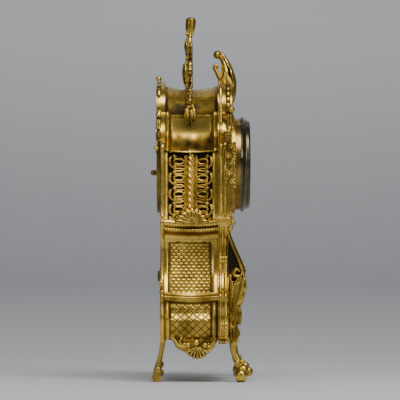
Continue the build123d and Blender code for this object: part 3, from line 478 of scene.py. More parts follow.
def upper_relief(y, _z):
    """Pilasters at front and back, and a channel for the rope between two thin fillets."""
    pilaster = between(y, 39.2, 50) + between(y, -30, -13.4)
    round_ = 1.9 * pilaster * (0.6 + 0.4 * np.cos((y - np.where(y > 10, 42.3, -16.6)) * PI / 7))
    rope_bed = between(y, 8.0, 15.5)
    fillet = between(y, 16.2, 17.9, 0.5) + between(y, 5.6, 7.3, 0.5)
    height = round_ + 0.9 * fillet - 2.2 * rope_bed
    quirk = between(y, 38.2, 39.6) + between(y, -13.8, -12.4)
    return height, np.clip(0.85 * rope_bed + 0.9 * quirk, 0, 1)


def open_to_bell(y, z):
    """True where the wall is solid; False at the two tall sound openings."""
    tall = (z > 200) & (z < 277)
    return ~(tall & (((y > 18.3) & (y < 38.4)) | ((y > -12.3) & (y < 5.0))))


def fret_column(middle, hand):
    """One column of the sound fret: oval rings, flat ovals and bars between them, and leafy C-scrolls
    up the side that faces the pilaster."""
    shapes = []
    t = np.linspace(0, TAU, 28, endpoint=False)
    inner = middle - hand * 1.6
    for z in (266.4, 246.6, 226.8, 208.4):
        for shift, a, b, size in ((0, 6.0, 3.2, 1.35), (9.9, 5.6, 1.5, 1.0)):
            oval = np.column_stack([inner + a * np.cos(t), z + shift + b * np.sin(t)])
            if z + shift < 272:
                shapes.append(sweep(on(upper, oval, 0.9), size, 1.9, LEFT, 8, closed=True))
        c_scroll = [(middle + hand * aside, z + up)
                    for aside, up in ((4.6, 7.2), (8.0, 5.4), (9.6, 0), (8.0, -5.4), (4.6, -7.2))]
        curve = scroll(c_scroll, 44, (1.9, 0.75, hand), (1.9, 0.75, -hand))
        shapes.append(sweep(on(upper, curve, 1.3), 1.5, 1.9, LEFT, 8,
                            lambda u, a: 0.62 * np.abs(np.sin(9 * PI * u)) - 0.2))
        shapes.append(balls(on(upper, curve[6:-6:6], 2.4), 1.25, 8))
    for z in (261.3, 251.8, 241.5, 232.0, 221.7, 213.2, 203.4):
        bar = np.column_stack([np.linspace(middle - hand * 9.4, middle + hand * 4.4, 12), np.full(12, z)])
        shapes.append(sweep(on(upper, bar, 0.3), 0.75, 1.5, LEFT, 8))
    stile = np.column_stack([np.full(40, middle - hand * 9.0), np.linspace(200, 277, 40)])
    shapes.append(sweep(on(upper, stile, 0.4), 1.2, 1.8, LEFT, 8))
    return shapes


def shade_backing():
    """A dark brown sheet behind the sound openings: painted shade that stands for the dark inside of the case
    seen through them.
    """
    z, y = np.meshgrid(np.linspace(199, 278, 30), np.linspace(-12.8, 38.8, 30), indexing="ij")
    outer = np.stack([-upper(y, z) + 3.4, y, z], -1)
    return slab(outer, outer + [0.5, 0, 0], 1.0)


def rope(y, low, high, strand, turns):
    """Three strands laid round one another, up the middle of the side."""
    z = np.linspace(low, high, 150)
    shapes = []
    for k in range(3):
        phase = TAU * (turns * (z - low) / (high - low) + k / 3)
        path = np.column_stack([-upper(y, z) - 0.7 + 1.9 * np.sin(phase), y + 2.3 * np.cos(phase), z])
        shapes.append(sweep(path, strand, strand, LEFT, 10))
    return shapes


def spread_shell(face, middle, z, size, leaves, low, high, lift=1.0):
    """A spray of narrow leaves that fan out from a point of a wall, over a fluted shell."""
    shapes = [shell((middle, z), size * 0.62, math.radians(low), math.radians(high), leaves,
                    lambda a, b, h: np.stack([-face(a, b) - lift - h, a, b], -1), 3.2)]
    for angle in np.radians(np.linspace(low + 4, high - 4, leaves)):
        r = np.array([0.15, 0.45, 0.75, 1.0]) * size
        rib = np.column_stack([middle + r * np.cos(angle), z + r * np.sin(angle)])
        shapes.append(leaf(on(face, rib, lift) - [[0, 0, 0], [2.2, 0, 0], [2.2, 0, 0], [-1.6, 0, 0]],
                           size * 0.145, LEFT, 0.5, 2, 1.0, 14, 7, 0.2))
    return shapes


pair("upper_side_casting", [panel(upper, 190, EAVE, upper_relief, 100, keep=open_to_bell)], gilt,
     ["upper_side"])
pair("sound_fret_work", fret_column(28.4, 1) + fret_column(-3.9, -1), gilt, ["sound_fret"])
pair("sound_fret_shade_backing", [shade_backing()], painted_shade_backing, slot="dark_iron")
pair("rope_column", rope(11.75, 192, 281, 2.6, 4.0), gilt)
pair("fret_shell", spread_shell(upper, 11.0, 191.0, 22, 9, 4, 176, 4.6), gilt)


def waist(y0, y1, columns=120):
    """The moulding round the waist: a torus, a hollow, then a row of small leaves over a cavetto."""
    curve = smooth([(100, 197.5), (103.8, 197), (106.6, 195), (107.5, 192), (106.5, 189.6), (104, 188.4),
                    (103.3, 187.2), (104.8, 186.2), (105.6, 184.2), (104.4, 182.2), (101.4, 181.2),
                    (98.6, 179.6), (96.4, 177), (95.4, 173.5)], 54)
    y = np.linspace(y0, y1, columns)[None]
    leaves = between(curve[:, 1:], 181.8, 186.6, 0.8) * np.abs(np.sin(PI * (y - y0) / 3.25)) ** 0.7
    sag = 2.4 * (1 - ((y - MIDDLE) / HALF_DEPTH) ** 2)
    x = curve[:, :1] + 1.3 * leaves - 1.3 * sag
    z = curve[:, 1:] - 0.8 * sag
    groove = 0.5 * np.exp(-((curve[:, 1:] - 187.6) / 0.6) ** 2) + 0.2 * between(curve[:, 1:], 179.6, 181.3)
    hollow = np.clip(groove + between(curve[:, 1:], 181.8, 186.6) * (0.45 - leaves), 0, 1)
    outer = np.stack([-x, y + 0 * x, z], -1)
    return slab(outer, outer + [4.0, 0, 0], hollow)


pair("waist_moulding_cast", [waist(CASE_FRONT, CASE_BACK)], gilt, ["waist_moulding"])


def lower_relief(y, z):
    """A frame with a rounded edge round a sunk field of small lozenges in staggered rows."""
    field = between(y, -12.0, 38.6, 1.4) * between(z, 100, 168.5, 1.4)
    a, b = y / 6.0, z / 7.5
    near = np.minimum(np.hypot((a - np.round(a)) * 6.0 / 2.5, (b - np.round(b)) * 7.5 / 1.45),
                      np.hypot((a + 0.5 - np.round(a + 0.5)) * 6.0 / 2.5,
                               (b + 0.5 - np.round(b + 0.5)) * 7.5 / 1.45))
    pit = field * (1 - step(near, 0.95, 0.5)) * between(y, -9.5, 36.2, 0.8)
    line = between(y, 36.4, 37.4, 0.5) + between(y, -10.8, -9.8, 0.5)
    pilaster = (1 - field) * (np.cos((y - np.where(y > 10, 41.5, -16.2)) * PI / 12) - 0.7)
    height = 1.6 * pilaster - 1.3 * field + field * 0.5 * line + 0.8 * pit
    return height, np.clip(field * (0.42 - 0.42 * pit) + between(field, 0.15, 0.85, 0.1) * 0.3, 0, 1)


pair("lower_side_trellis", [panel(lower, 106.5, 175, lower_relief, 130)], gilt, ["lower_side"])


def diamonds(y, z):
    """Fine lines cut slantwise both ways over the swelling panel and its apron."""
    a, b = y / 9.8 + z / 9.2, y / 9.8 - z / 9.2
    return np.maximum(np.exp(-((a - np.round(a)) * 13.6) ** 2), np.exp(-((b - np.round(b)) * 13.6) ** 2))


def base_relief(y, z):
    """A sagging torus over a swelling panel cut with wide diamonds, between two fluted pilasters."""
    sag = 2.2 * (1 - ((y - MIDDLE) / HALF_DEPTH) ** 2)
    z0 = z + sag
    inside = between(y, -11.5, 36.5, 0.9)
    torus = between(z0, 98.0, 105.0, 1.6)
    cut = diamonds(y, z) * inside * (1 - step(z0, 96.5, 1.0))
    flute = np.cos((y - np.where(y > 10, 40.2, -15.8)) * TAU / 7.2)
    pilaster = (1 - inside) * (1 - step(z0, 97.0, 1.0))
    height = 1.9 * torus - 0.55 * cut + pilaster * (1.4 + 0.7 * flute) - 0.3 * between(z0, 105.6, 109, 0.8)
    roll = 1.5 * np.exp(-((z - 71.5) / 5.5) ** 2) - 2.4 * np.exp(-((z - 83.0) / 5.0) ** 2)
    height = height + inside * roll
    hollow = (0.4 * cut + 0.1 * inside + pilaster * np.clip(-flute, 0, 1) * 0.6 + 0.1 * step(z0, 105.6, 0.7)
              + 0.4 * np.exp(-((z0 - 97.0) / 0.9) ** 2))
    return height, np.clip(hollow, 0, 1)


pair("base_side_panel", [panel(base, 51, 108, base_relief, 116)], gilt, ["base_side"])


def apron():
    """The scrolled drop below the base: a thin field, a thick rolled edge, three knobs and a shell."""
    low = smooth([(38.5, 56.5), (34.5, 53.5), (30.5, 49.5), (27.5, 44.5), (22.5, 41.0), (16.5, 38.8),
                  (4.5, 36.5), (-7.5, 38.8), (-13.0, 42.5), (-15.5, 48.0), (-18.5, 53.0), (-21.0, 55.5)], 70)
    v = np.linspace(0, 1, 12)[None]
    y = low[:, :1] + 0 * v
    z = low[:, 1:] * v + (57.5 + 0 * low[:, 1:]) * (1 - v)
    x = -108.2 + 0.10 * (57.5 - z)
    outer = np.stack([x, y, z], -1)
    field = slab(outer, outer + [3.4, 0, 0], 0.1 + 0.3 * v + 0.4 * diamonds(y, z))
    edge = np.column_stack([-109.0 + 0.10 * (57.5 - low[:, 1]), low])
    roll = sweep(edge, [2.0, 3.0, 3.2, 2.8, 3.2, 3.0, 2.0], [2.6, 3.4, 3.6, 3.2, 3.6, 3.4, 2.6], LEFT, 14,
                 lambda u, a: 0.06 * np.cos(3 * a + 9 * u))
    knobs = balls([(-110.5, 15.6, 44.6), (-111.0, 5.4, 47.8), (-110.5, -4.8, 44.4)], [3.7, 4.1, 3.7])
    curls = []
    for m, h in ((22, 1), (-11, -1)):
        curve = scroll([(m, 55), (m + h * 3, 50), (m + h, 44)], 30, None, (2.6, 0.8, -h))
        curls.append(sweep(in_yz(curve, -108.8), 2.1, 2.6, LEFT, 10))
    fan = shell((4.2, 43.5), 16.5, math.radians(202), math.radians(338), 7,
                lambda a, b, h: np.stack([-107.5 - h, a, b], -1), 4.2, 2.4)
    return [field, roll, knobs, fan] + curls


pair("side_apron_cast", apron(), gilt, ["side_apron"])

# ---- the roof ---------------------------------------------------------------------------------


def shoulder():
    """The hollow shoulder between dome and eave, its ends raised as pilasters and its foot chased."""
    curve = smooth([(53, 330), (58, 330), (62.5, 328.5), (64.4, 325), (64.2, 318), (64.6, 310), (66.4, 303),
                    (70.5, 296.5), (77, 291), (86, 286.2), (95, 283), (98.5, 281.5), (98.8, 279)], 84)
    normal = unit(np.gradient(curve, axis=0) @ np.array([[0, 1], [-1, 0]]))
    y = np.linspace(CASE_FRONT, CASE_BACK, 110)[None]
    sink = 1 - ((y - MIDDLE) / HALF_DEPTH) ** 2
    ends = between(y, 36.6, 60, 1.2) + between(y, -60, -12.5, 1.2)
    flute = 0.5 + 0.5 * np.cos((y - np.where(y > 10, 40.5, -16.5)) * TAU / 6.2)
    run = np.linspace(0, 1, len(curve))[:, None]
    chased = between(run, 0.62, 0.88, 0.05) * (1 - ends)
    grain = np.sin(y * 2.1 + 5 * np.sin(run * 40)) * np.sin(run * 150 + y * 0.7)
    lift = ends * (1.0 + 1.3 * flute) - 3.6 * sink * between(run, 0.08, 0.93, 0.2) + 0.22 * chased * grain
    x = curve[:, :1] + normal[:, :1] * lift
    z = curve[:, 1:] + normal[:, 1:] * lift - 1.6 * sink
    worn = 0.72 + 0.28 * np.sin(y * 0.37 + 9 * run) * np.sin(y * 0.13 - 17 * run)
    # Painted shadow in the upper band, under the dome's overhang; the lower band darkens the shoulder's foot
    # above the eave.
    overhang_shadow_and_low_band = 0.75 * between(run, 0.04, 0.25, 0.1) + 0.62 * between(run, 0.5, 0.95, 0.1)
    hollow = np.clip((1 - ends) * worn * overhang_shadow_and_low_band + ends * (1 - flute) * 0.35, 0, 1)
    outer = np.stack([-x, y + 0 * x, z], -1)
    below = z - 3.0 * np.clip(normal[:, 1:], 0.1, 1)
    inner = np.stack([-(x - 3.0 * normal[:, :1] - 0.6), y + 0 * x, below], -1)
    return slab(outer, inner, hollow)


def dome():
    """The crown of the roof: a barrel between the end castings that sags half way back, lightly hatched."""
    half = [(57.5, 329), (56.4, 336), (52.5, 344.5), (44, 352.5), (31, 359.6), (16, 364.4)]
    curve = smooth([(-x, z) for x, z in half] + [(0, 366)] + half[::-1], 120)
    y = np.linspace(CASE_FRONT, CASE_BACK, 90)[None]
    sink = 1 - ((y - MIDDLE) / HALF_DEPTH) ** 2
    narrow = 1 - 0.055 * sink
    hatch = 0.10 * np.sin(curve[:, 1:] * 3.6 + 0.35 * y) + 0.08 * np.sin(y * 2.9)
    x = curve[:, :1] * (narrow + 0.0016 * hatch)
    z = curve[:, 1:] - 4.6 * sink + hatch
    # Painted shade: the lower, steeper part of the dome is darkened below z 351.
    low = np.clip((351 - curve[:, 1:]) / 7, 0, 1)
    edge = between(y, -30, -17.0, 2.0) + between(y, 40.5, 60, 2.0)
    hollow = np.clip(0.56 * low + 0.25 * edge + 0.1 * np.clip((curve[:, 1:] - 362) / 3, 0, 1), 0, 1)
    outer = np.stack([x, y + 0 * x, z], -1)
    return slab(outer, np.stack([x * 0.95, y + 0 * x, z - 3.0], -1), hollow)


pair("roof_shoulder_cast", [shoulder()], gilt, ["roof_shoulder"])
piece("roof_dome_cast", [dome()], gilt, stands_for=["roof_dome"])


def crest():
    """The crest over the roof, for the left half: scrolls and leaves that climb to a bud."""
    y = MIDDLE + 2
    ridge = smooth([(-3, 366), (-16, 365), (-31, 360.5), (-44, 353), (-52.5, 344), (-56.5, 335),
                    (-60, 331.5)], 60)
    over = in_xz(ridge, np.linspace(MIDDLE + 3, MIDDLE + 4, 60))
    shapes = [sweep(over, [2.6, 2.6, 3.2, 2.6, 3.2, 3.4, 4.4], [2.4, 3.2, 3.0, 3.2, 3.4, 3.4, 4.0],
                    (-0.5, 0, 1), 12, lambda u, a: 0.14 * np.cos(22 * PI * u))]
    for points, first, last, size in (
        ([(-4, 368), (-18, 371), (-31, 375), (-36, 384)], None, (8, 0.95, 1), 2.5),
        ([(-4, 380), (-9, 371), (-20, 369), (-29, 377), (-29, 390), (-20, 399)], None, (6, 0.9, -1), 2.8),
        ([(-3, 404), (-10, 409), (-15, 418), (-12, 427)], None, (3.6, 0.9, -1), 2.0),
        ([(-46, 352), (-55, 352), (-61, 345)], (4, 0.8, 1), (4, 0.8, 1), 2.2),
    ):
        path = in_xz(scroll(points, 60, first, last), y)
        shapes.append(sweep(path, size * 0.8, size * 1.15, FRONT, 10,
                            lambda u, a: 0.12 * np.cos(24 * PI * u)))
    for rib, width in (([(-20, 399), (-28, 408), (-30, 418)], 5), ([(-8, 384), (-14, 391), (-13, 400)], 5),
                       ([(-37, 368), (-46, 372), (-52, 368)], 5),
                       ([(-60, 333), (-65, 322), (-65.6, 312)], 6)):
        for side in (1, -1):
            path = in_xz(np.array(rib, float), y - side * 1.6)
            shapes.append(leaf(path, width, (0, -side, 0), 0.35, 3, 1.2, 18, 9))
    for shift in (-4.2, 3.8):
        rib = np.array([(x - 0.8, y + shift * (1.3 - 0.012 * (z - 312)), z)
                        for x, z in ((-64, 333), (-66.5, 326), (-66.6, 316))])
        shapes.append(leaf(rib, 3.6, LEFT, 0.5, 2, 1.4, 16, 7))
    curl_end = in_yz(scroll([(y + 2, 349), (y - 1, 341), (y - 4, 337)], 26, None, (2.2, 0.8, 1)), -59.5)
    curl_end[:, 0] += np.linspace(4, -2, 26)
    shapes.append(sweep(curl_end, 1.3, 1.6, LEFT, 8))
    return shapes


def stem():
    """The middle of the crest, seen alike from both sides: stem, acanthus, twisted neck, bud and tip."""
    line = smooth([(15.6, 350), (16.6, 362), (17.0, 372), (16.8, 386), (16.3, 398), (16.2, 410), (15.6, 424),
                   (14.0, 434), (12.7, 446), (12.6, CREST_TOP - 0.6)], 150)
    radii = [2.6, 2.4, 3.2, 2.4, 3.8, 4.6, 4.2, 2.9, 3.0, 2.8, 2.6, 3.4, 4.0, 3.4, 2.6, 3.0, 5.4, 6.1, 6.1,
             6.0, 3.4]
    core = sweep(in_yz(line, 0.0), radii, np.array(radii) * 1.05, (0, -1, 0), 16,
                 lambda u, a: 0.08 * np.cos(3 * a + 30 * PI * u) * between(u, 0.05, 0.72, 0.05))
    shapes = [core, balls([(x, y, z) for x in (-2.5, 2.5) for y, z in ((17.6, 367.0), (12.2, 366.2))], 2.7)]
    ring = np.linspace(0, TAU, 9, endpoint=False)
    collar = np.column_stack([4.0 * np.cos(ring), 14.2 + 4.0 * np.sin(ring), np.full(9, 431.6)])
    shapes.append(balls(collar, 1.6, 10))
    for angle in np.linspace(0, TAU, 6, endpoint=False) + 0.3:
        c, s = math.cos(angle), math.sin(angle)
        for z0, z1, r0, r1, width, lean in ((369, 395, 3.4, 5.4, 4.6, 16.8), (408, 423, 2.8, 4.2, 3.0, 16.0)):
            r = np.array([r0, r1 * 0.92, r1, r1 * 0.72])
            rib = np.column_stack([r * c, lean + r * s, np.linspace(z0, z1, 4)])
            shapes.append(leaf(rib, width, (c, s, 0), 0.3, 2, 1.0, 16, 7, 0.2))
    return shapes


half_crest = crest()
piece("roof_crest_scrolls", half_crest + [mirrored(s) for s in half_crest] + stem(), gilt,
      stands_for=["roof_crest"])

# ---- the front and back castings: their edges and what is laid on them ------------------------


def outline(g):
    """The clock's outline on the right half, from the crown down to the middle of the foot, g outside
    the line that the end plates follow."""
    return smooth([(0, 366 + g), (16, 364.5 + g), (31, 360 + g), (44 + g, 353 + g), (51 + g, 345 + 0.7 * g),
                   (55.5 + g, 337), (57 + g, 330), (63 + g, 326.5), (65 + g, 318), (66.5 + g, 306 + 0.3 * g),
                   (77 + g, 292 + 0.6 * g), (95 + g, 284 + 0.3 * g), (96 + g, 274), (98 + g, 250),
                   (98.7 + g, 225), (101 + g, 203), (107.5 + g, 194), (107 + g, 188), (102 + g, 180),
                   (95 + g, 171), (93.5 + g, 155), (98 + g, 130), (110 + g, 111), (117.5 + g, 103),
                   (116.5 + g, 95), (120.5 + g, 79), (118 + g, 62), (109 + g, 50 - 0.3 * g)], 640)


def edge(top, bottom, g, count):
    """Part of the outline on the left side, between two heights, as (x, z)."""
    line = outline(g)
    part = line[(line[:, 1] <= top) & (line[:, 1] >= bottom)]
    pick = part[np.linspace(0, len(part) - 1, count).astype(int)]
    return pick * [-1, 1]


def nodes_along(line, y, radii, out=FRONT, pitch=None, sides=12):
    """A rounded bar that swells into a row of nodes, like a stem of closed buds."""
    length = np.concatenate([[0], np.cumsum(np.linalg.norm(np.diff(line, axis=0), axis=1))])
    even = np.linspace(0, length[-1], int(length[-1] / 0.9) + 8)
    path = in_xz(np.column_stack([np.interp(even, length, line[:, k]) for k in (0, 1)]), y)
    turns = 0 if pitch is None else length[-1] / pitch
    return sweep(path, radii[0], radii[1], out, sides,
                 lambda u, a: (0.30 * np.abs(np.sin(PI * turns * u)) - 0.18) * (turns > 0) + 0 * a)


def flower(centre, size, out):
    """Five cupped petals round a bead."""
    out = np.asarray(out, float)
    u = unit(np.cross(out, [0.3, 0.2, 1.0]))
    v = np.cross(out, u)
    shapes = [balls([np.asarray(centre) + out * size * 0.45], size * 0.27, 10)]
    for angle in np.linspace(0, TAU, 5, endpoint=False):
        way = u * math.cos(angle) + v * math.sin(angle)
        cup = ((0.15, 0.05), (0.5, 0.42), (0.85, 0.42), (1.02, 0.2))
        rib = np.asarray(centre) + np.array([way * size * r + out * size * h for r, h in cup])
        shapes.append(leaf(rib, size * 0.46, out, 0.4, 1, size * 0.16, 8, 7))
    return shapes


def hugging(top, bottom, g, y, width, out, crown=0.5, lobes=5, rows=34):
    """An acanthus leaf that lies along the outline."""
    line = edge(top, bottom, g, 7)
    lift = np.sin(np.linspace(0.15, 1, 7) * PI)[:, None] * [1.6, 0]
    return leaf(in_xz(line - lift, y), width, out, crown, lobes, 1.5, rows, 11)


BACK_Y = extent("back_casting")[0][1] + 2.6
PLATE_Y = -30.0

back_edge = [nodes_along(edge(372, 293, 5, 200), BACK_Y + 5.2, (2.2, 3.0), pitch=16.0),
             nodes_along(edge(292, 198, 6, 120), BACK_Y, (1.9, 2.4)),
             nodes_along(edge(196, 112, 6, 140), BACK_Y, (2.0, 2.4)),
             nodes_along(edge(106, 52, 6, 120), BACK_Y, (1.9, 2.4))]
back_edge.append(balls([(-121.8, BACK_Y, 108), (-103.5, BACK_Y + 7.5, 282)], [3.4, 2.9]))
volute = scroll([(-100.5, 140), (-104.5, 127), (-113, 116.5)], 40, None, (4.6, 1.0, -1))
back_edge.append(sweep(in_xz(volute, BACK_Y + 1), 1.9, 3.2, FRONT, 10))
pair("back_casting_edge", back_edge, gilt)


def upper_front_edge():
    """The front casting's leafy edge beside the dial: buds, flowers and sprays, over one long leaf."""
    shapes = [nodes_along(edge(368, 200, 8, 260), -24.2, (1.8, 2.2)),
              nodes_along(edge(366, 292, 8, 220), -33.5, (2.4, 2.8), pitch=7.5),
              nodes_along(edge(290, 199, 8, 160), -29.2, (1.5, 1.6)),
              nodes_along(edge(290, 232, 8, 160), -40.6, (2.0, 2.0), pitch=4.6)]
    for z, y, size in ((322, -31, 5.0), (309, -36, 4.4), (297, -31, 4.4), (285, -37, 5.2), (273, -33, 4.6),
                       (263, -38, 4.2), (252, -34, 4.6), (241, -37.5, 4.0)):
        x = edge(z + 3, z - 3, 8, 3)[1, 0]
        shapes += flower((x - 0.6, y, z), size, (-0.93, -0.28 if y < -34 else 0.2, 0.1))
    for top, bottom, y, width in ((330, 300, -35, 5.0), (303, 282, -29, 4.6), (283, 262, -28.5, 4.0),
                                  (270, 248, -39.0, 4.0), (258, 236, -30, 3.8)):
        shapes.append(hugging(top, bottom, 8.6, y, width, LEFT, 0.55, 4, 22))
    shapes.append(balls([(-77, -37, 330.5), (-112.5, -38.6, 191.5), (-109.5, -35.4, 183.5),
                         (-108, -37.5, 199)], [4.4, 3.3, 2.8, 2.6]))
    curve = scroll([(-29, 327), (-33, 331), (-36.5, 330)], 24, None, (2.6, 0.7, -1))
    shapes.append(sweep(in_yz(curve, -74), 1.7, 4.5, LEFT, 10))
    return shapes


def lower_front_edge():
    """Two upright mouldings down the casting's edge below the waist, tied by knots."""
    shapes = [nodes_along(edge(189, 52, 8, 240), -23.4, (2.0, 1.7)),
              nodes_along(edge(189, 52, 7, 240), -29.8, (3.0, 2.8))]
    for z in (150, 113, 70, 53.5):
        x = edge(z + 3, z - 3, 8, 3)[1, 0]
        for y, r in ((-23.6, 2.7), (-26.8, 2.2), (-30.2, 3.4)):
            shapes.append(balls([(x - 0.4, y, z), (x - 0.2, y, z - 4.6)], [r, r * 0.8], 12, (1, 1.1, 0.7)))
    return shapes


pair("front_edge_leaves", upper_front_edge(), gilt)
pair("front_edge_mouldings", lower_front_edge(), gilt)


def face_ornament():
    """What is chased on the face, left half: scrolls round the dial's collar, a spray at the window
    and leaves that follow the border."""
    y = PLATE_Y - 1.5
    shapes = []
    for points, first, last, size in (
        ([(-10, 201), (-28, 200), (-44, 208), (-57, 222)], (6, 0.9, -1), (6.5, 0.9, -1), 3.0),
        ([(-70, 236), (-76, 256), (-74, 278), (-62, 300)], (5, 0.9, 1), (6.5, 0.9, -1), 3.0),
        ([(-34, 90), (-35, 112), (-33, 134), (-20, 152)], (6.5, 0.9, 1), (5, 0.9, -1), 2.8),
        ([(-12, 160), (-26, 166), (-42, 160), (-52, 146), (-66, 140)], (5, 0.9, 1), (6, 0.9, 1), 2.6),
        ([(-76, 168), (-62, 178), (-50, 190)], (5.5, 0.9, -1), (5, 0.9, 1), 2.6),
        ([(-50, 88), (-66, 82), (-82, 88), (-90, 100)], (6, 0.9, -1), (5.5, 0.9, 1), 2.8),
        ([(-14, 344), (-28, 340), (-42, 330)], (5.5, 0.9, -1), (5, 0.9, 1), 2.6),
    ):
        path = in_xz(scroll(points, 70, first, last), y)
        shapes.append(sweep(path, size * np.array([0.5, 1, 0.9, 0.5]), size * np.array([0.8, 1.5, 1.2, 1]),
                            FRONT, 10, lambda u, a: 0.10 * np.cos(30 * PI * u)))
    for rib, width in (([(-44, 200), (-58, 192), (-74, 194), (-84, 204)], 7),
                       ([(-80, 232), (-88, 250), (-87, 272)], 6.5),
                       ([(-44, 106), (-58, 112), (-70, 126)], 7), ([(-22, 178), (-34, 184), (-46, 180)], 6),
                       ([(-58, 96), (-74, 104), (-84, 118)], 6.5), ([(-30, 172), (-46, 172), (-60, 162)], 6),
                       ([(-22, 338), (-34, 336), (-48, 322)], 5), ([(-60, 72), (-78, 68), (-96, 76)], 6.5),
                       ([(-24, 76), (-38, 72), (-52, 76)], 5)):
        shapes.append(leaf(in_xz(np.array(rib, float), y), width, FRONT, 0.5, 4, 1.6, 26, 11))
    for x, z, size in ((-66, 210, 5.5), (-58, 128, 5.5), (-82, 290, 5), (-70, 152, 4.6), (-94, 92, 5)):
        shapes += flower((x, y - 1, z), size, FRONT)
    window = scroll([(0, 152), (-17, 148), (-27, 138), (-30.5, 126), (-30.5, 100), (-30.5, 86), (-22, 82),
                     (0, 81)], 80)
    shapes.append(nodes_along(window, PLATE_Y - 1.6, (1.8, 2.6), pitch=5.2))
    return shapes


faces_left = face_ornament()
piece("face_ornament", faces_left + [mirrored(s) for s in faces_left]
      + [shell((0, 176), 19, math.radians(200), math.radians(340), 9,
               lambda a, b, h: np.stack([a, PLATE_Y - 0.8 - h, b], -1), 5.0, 2.0)]
      + flower((0, PLATE_Y - 4, 178), 6, FRONT), gilt)


def front_leaf():
    """The great leaf over the dial: a thick acanthus that curls back to a ball, with a second curl
    behind it."""
    spine = smooth([(-29, 332), (-31.5, 340), (-33, 352), (-33, 365), (-32.5, 377), (-31.5, 388),
                    (-28.5, 397), (-24, 404), (-20.6, 405)], 90)
    body = sweep(in_yz(spine, 0.0), [5, 9, 12, 12.5, 11, 8, 5.5, 4.5, 4.0],
                 [5.4, 6.4, 9.4, 9.8, 9.2, 6.2, 3.6, 3.4, 4.2], FRONT, 24,
                 lambda u, a: 0.07 * np.cos(6 * a) * between(u, 0.1, 0.8, 0.1))
    shapes = [body, balls([(0, -20.8, 405.6)], [5.4], 20, (1.5, 1.0, 1.0))]
    for x, width in ((0, 7.5), (-8.4, 5.5), (8.4, 5.5)):
        rib = np.array([(x * 0.8, -35.0, 336), (x, -41.0, 352), (x * 1.05, -42.2, 370), (x * 0.8, -38.4, 386),
                        (x * 0.45, -32.0, 399), (x * 0.3, -25, 408)])
        shapes.append(leaf(rib, width, (x * 0.05, -1, 0), 0.3, 5, 1.6, 44, 11, 0.3))
    for side in (-1, 1):
        rib = np.array([(side * x, y, z) for x, y, z in (
            (9.5, -29, 340), (12.6, -31, 354), (12.8, -31.5, 370), (9.6, -31, 385))])
        shapes.append(leaf(rib, 9.6, (side, 0, 0), 0.16, 2, 1.6, 32, 13, 0.06))
        back = scroll([(-26, 366), (-23.5, 375), (-19.5, 384), (-17.2, 389)], 40, None, (2.4, 0.8, 1))
        shapes.append(sweep(in_yz(back, side * 4.0), [2.4, 2.4, 1.9, 1.6], 3.0, (1, 0, 0), 10))
    ring = np.linspace(0, TAU, 36, endpoint=False)
    for z, wide, deep, mid in ((349.5, 12.4, 8.6, -33.2), (356.5, 12.9, 9.0, -33.4),
                               (337.5, 8.4, 6.0, -31.0)):
        loop = np.column_stack([wide * np.cos(ring), mid + deep * np.sin(ring), z + 1.2 * np.cos(ring)])
        shapes.append(sweep(loop, 1.0, 1.0, (0, 0, 1), 8, closed=True))
    return shapes


piece("front_crest_leaf", front_leaf(), gilt, stands_for=["front_crest"])


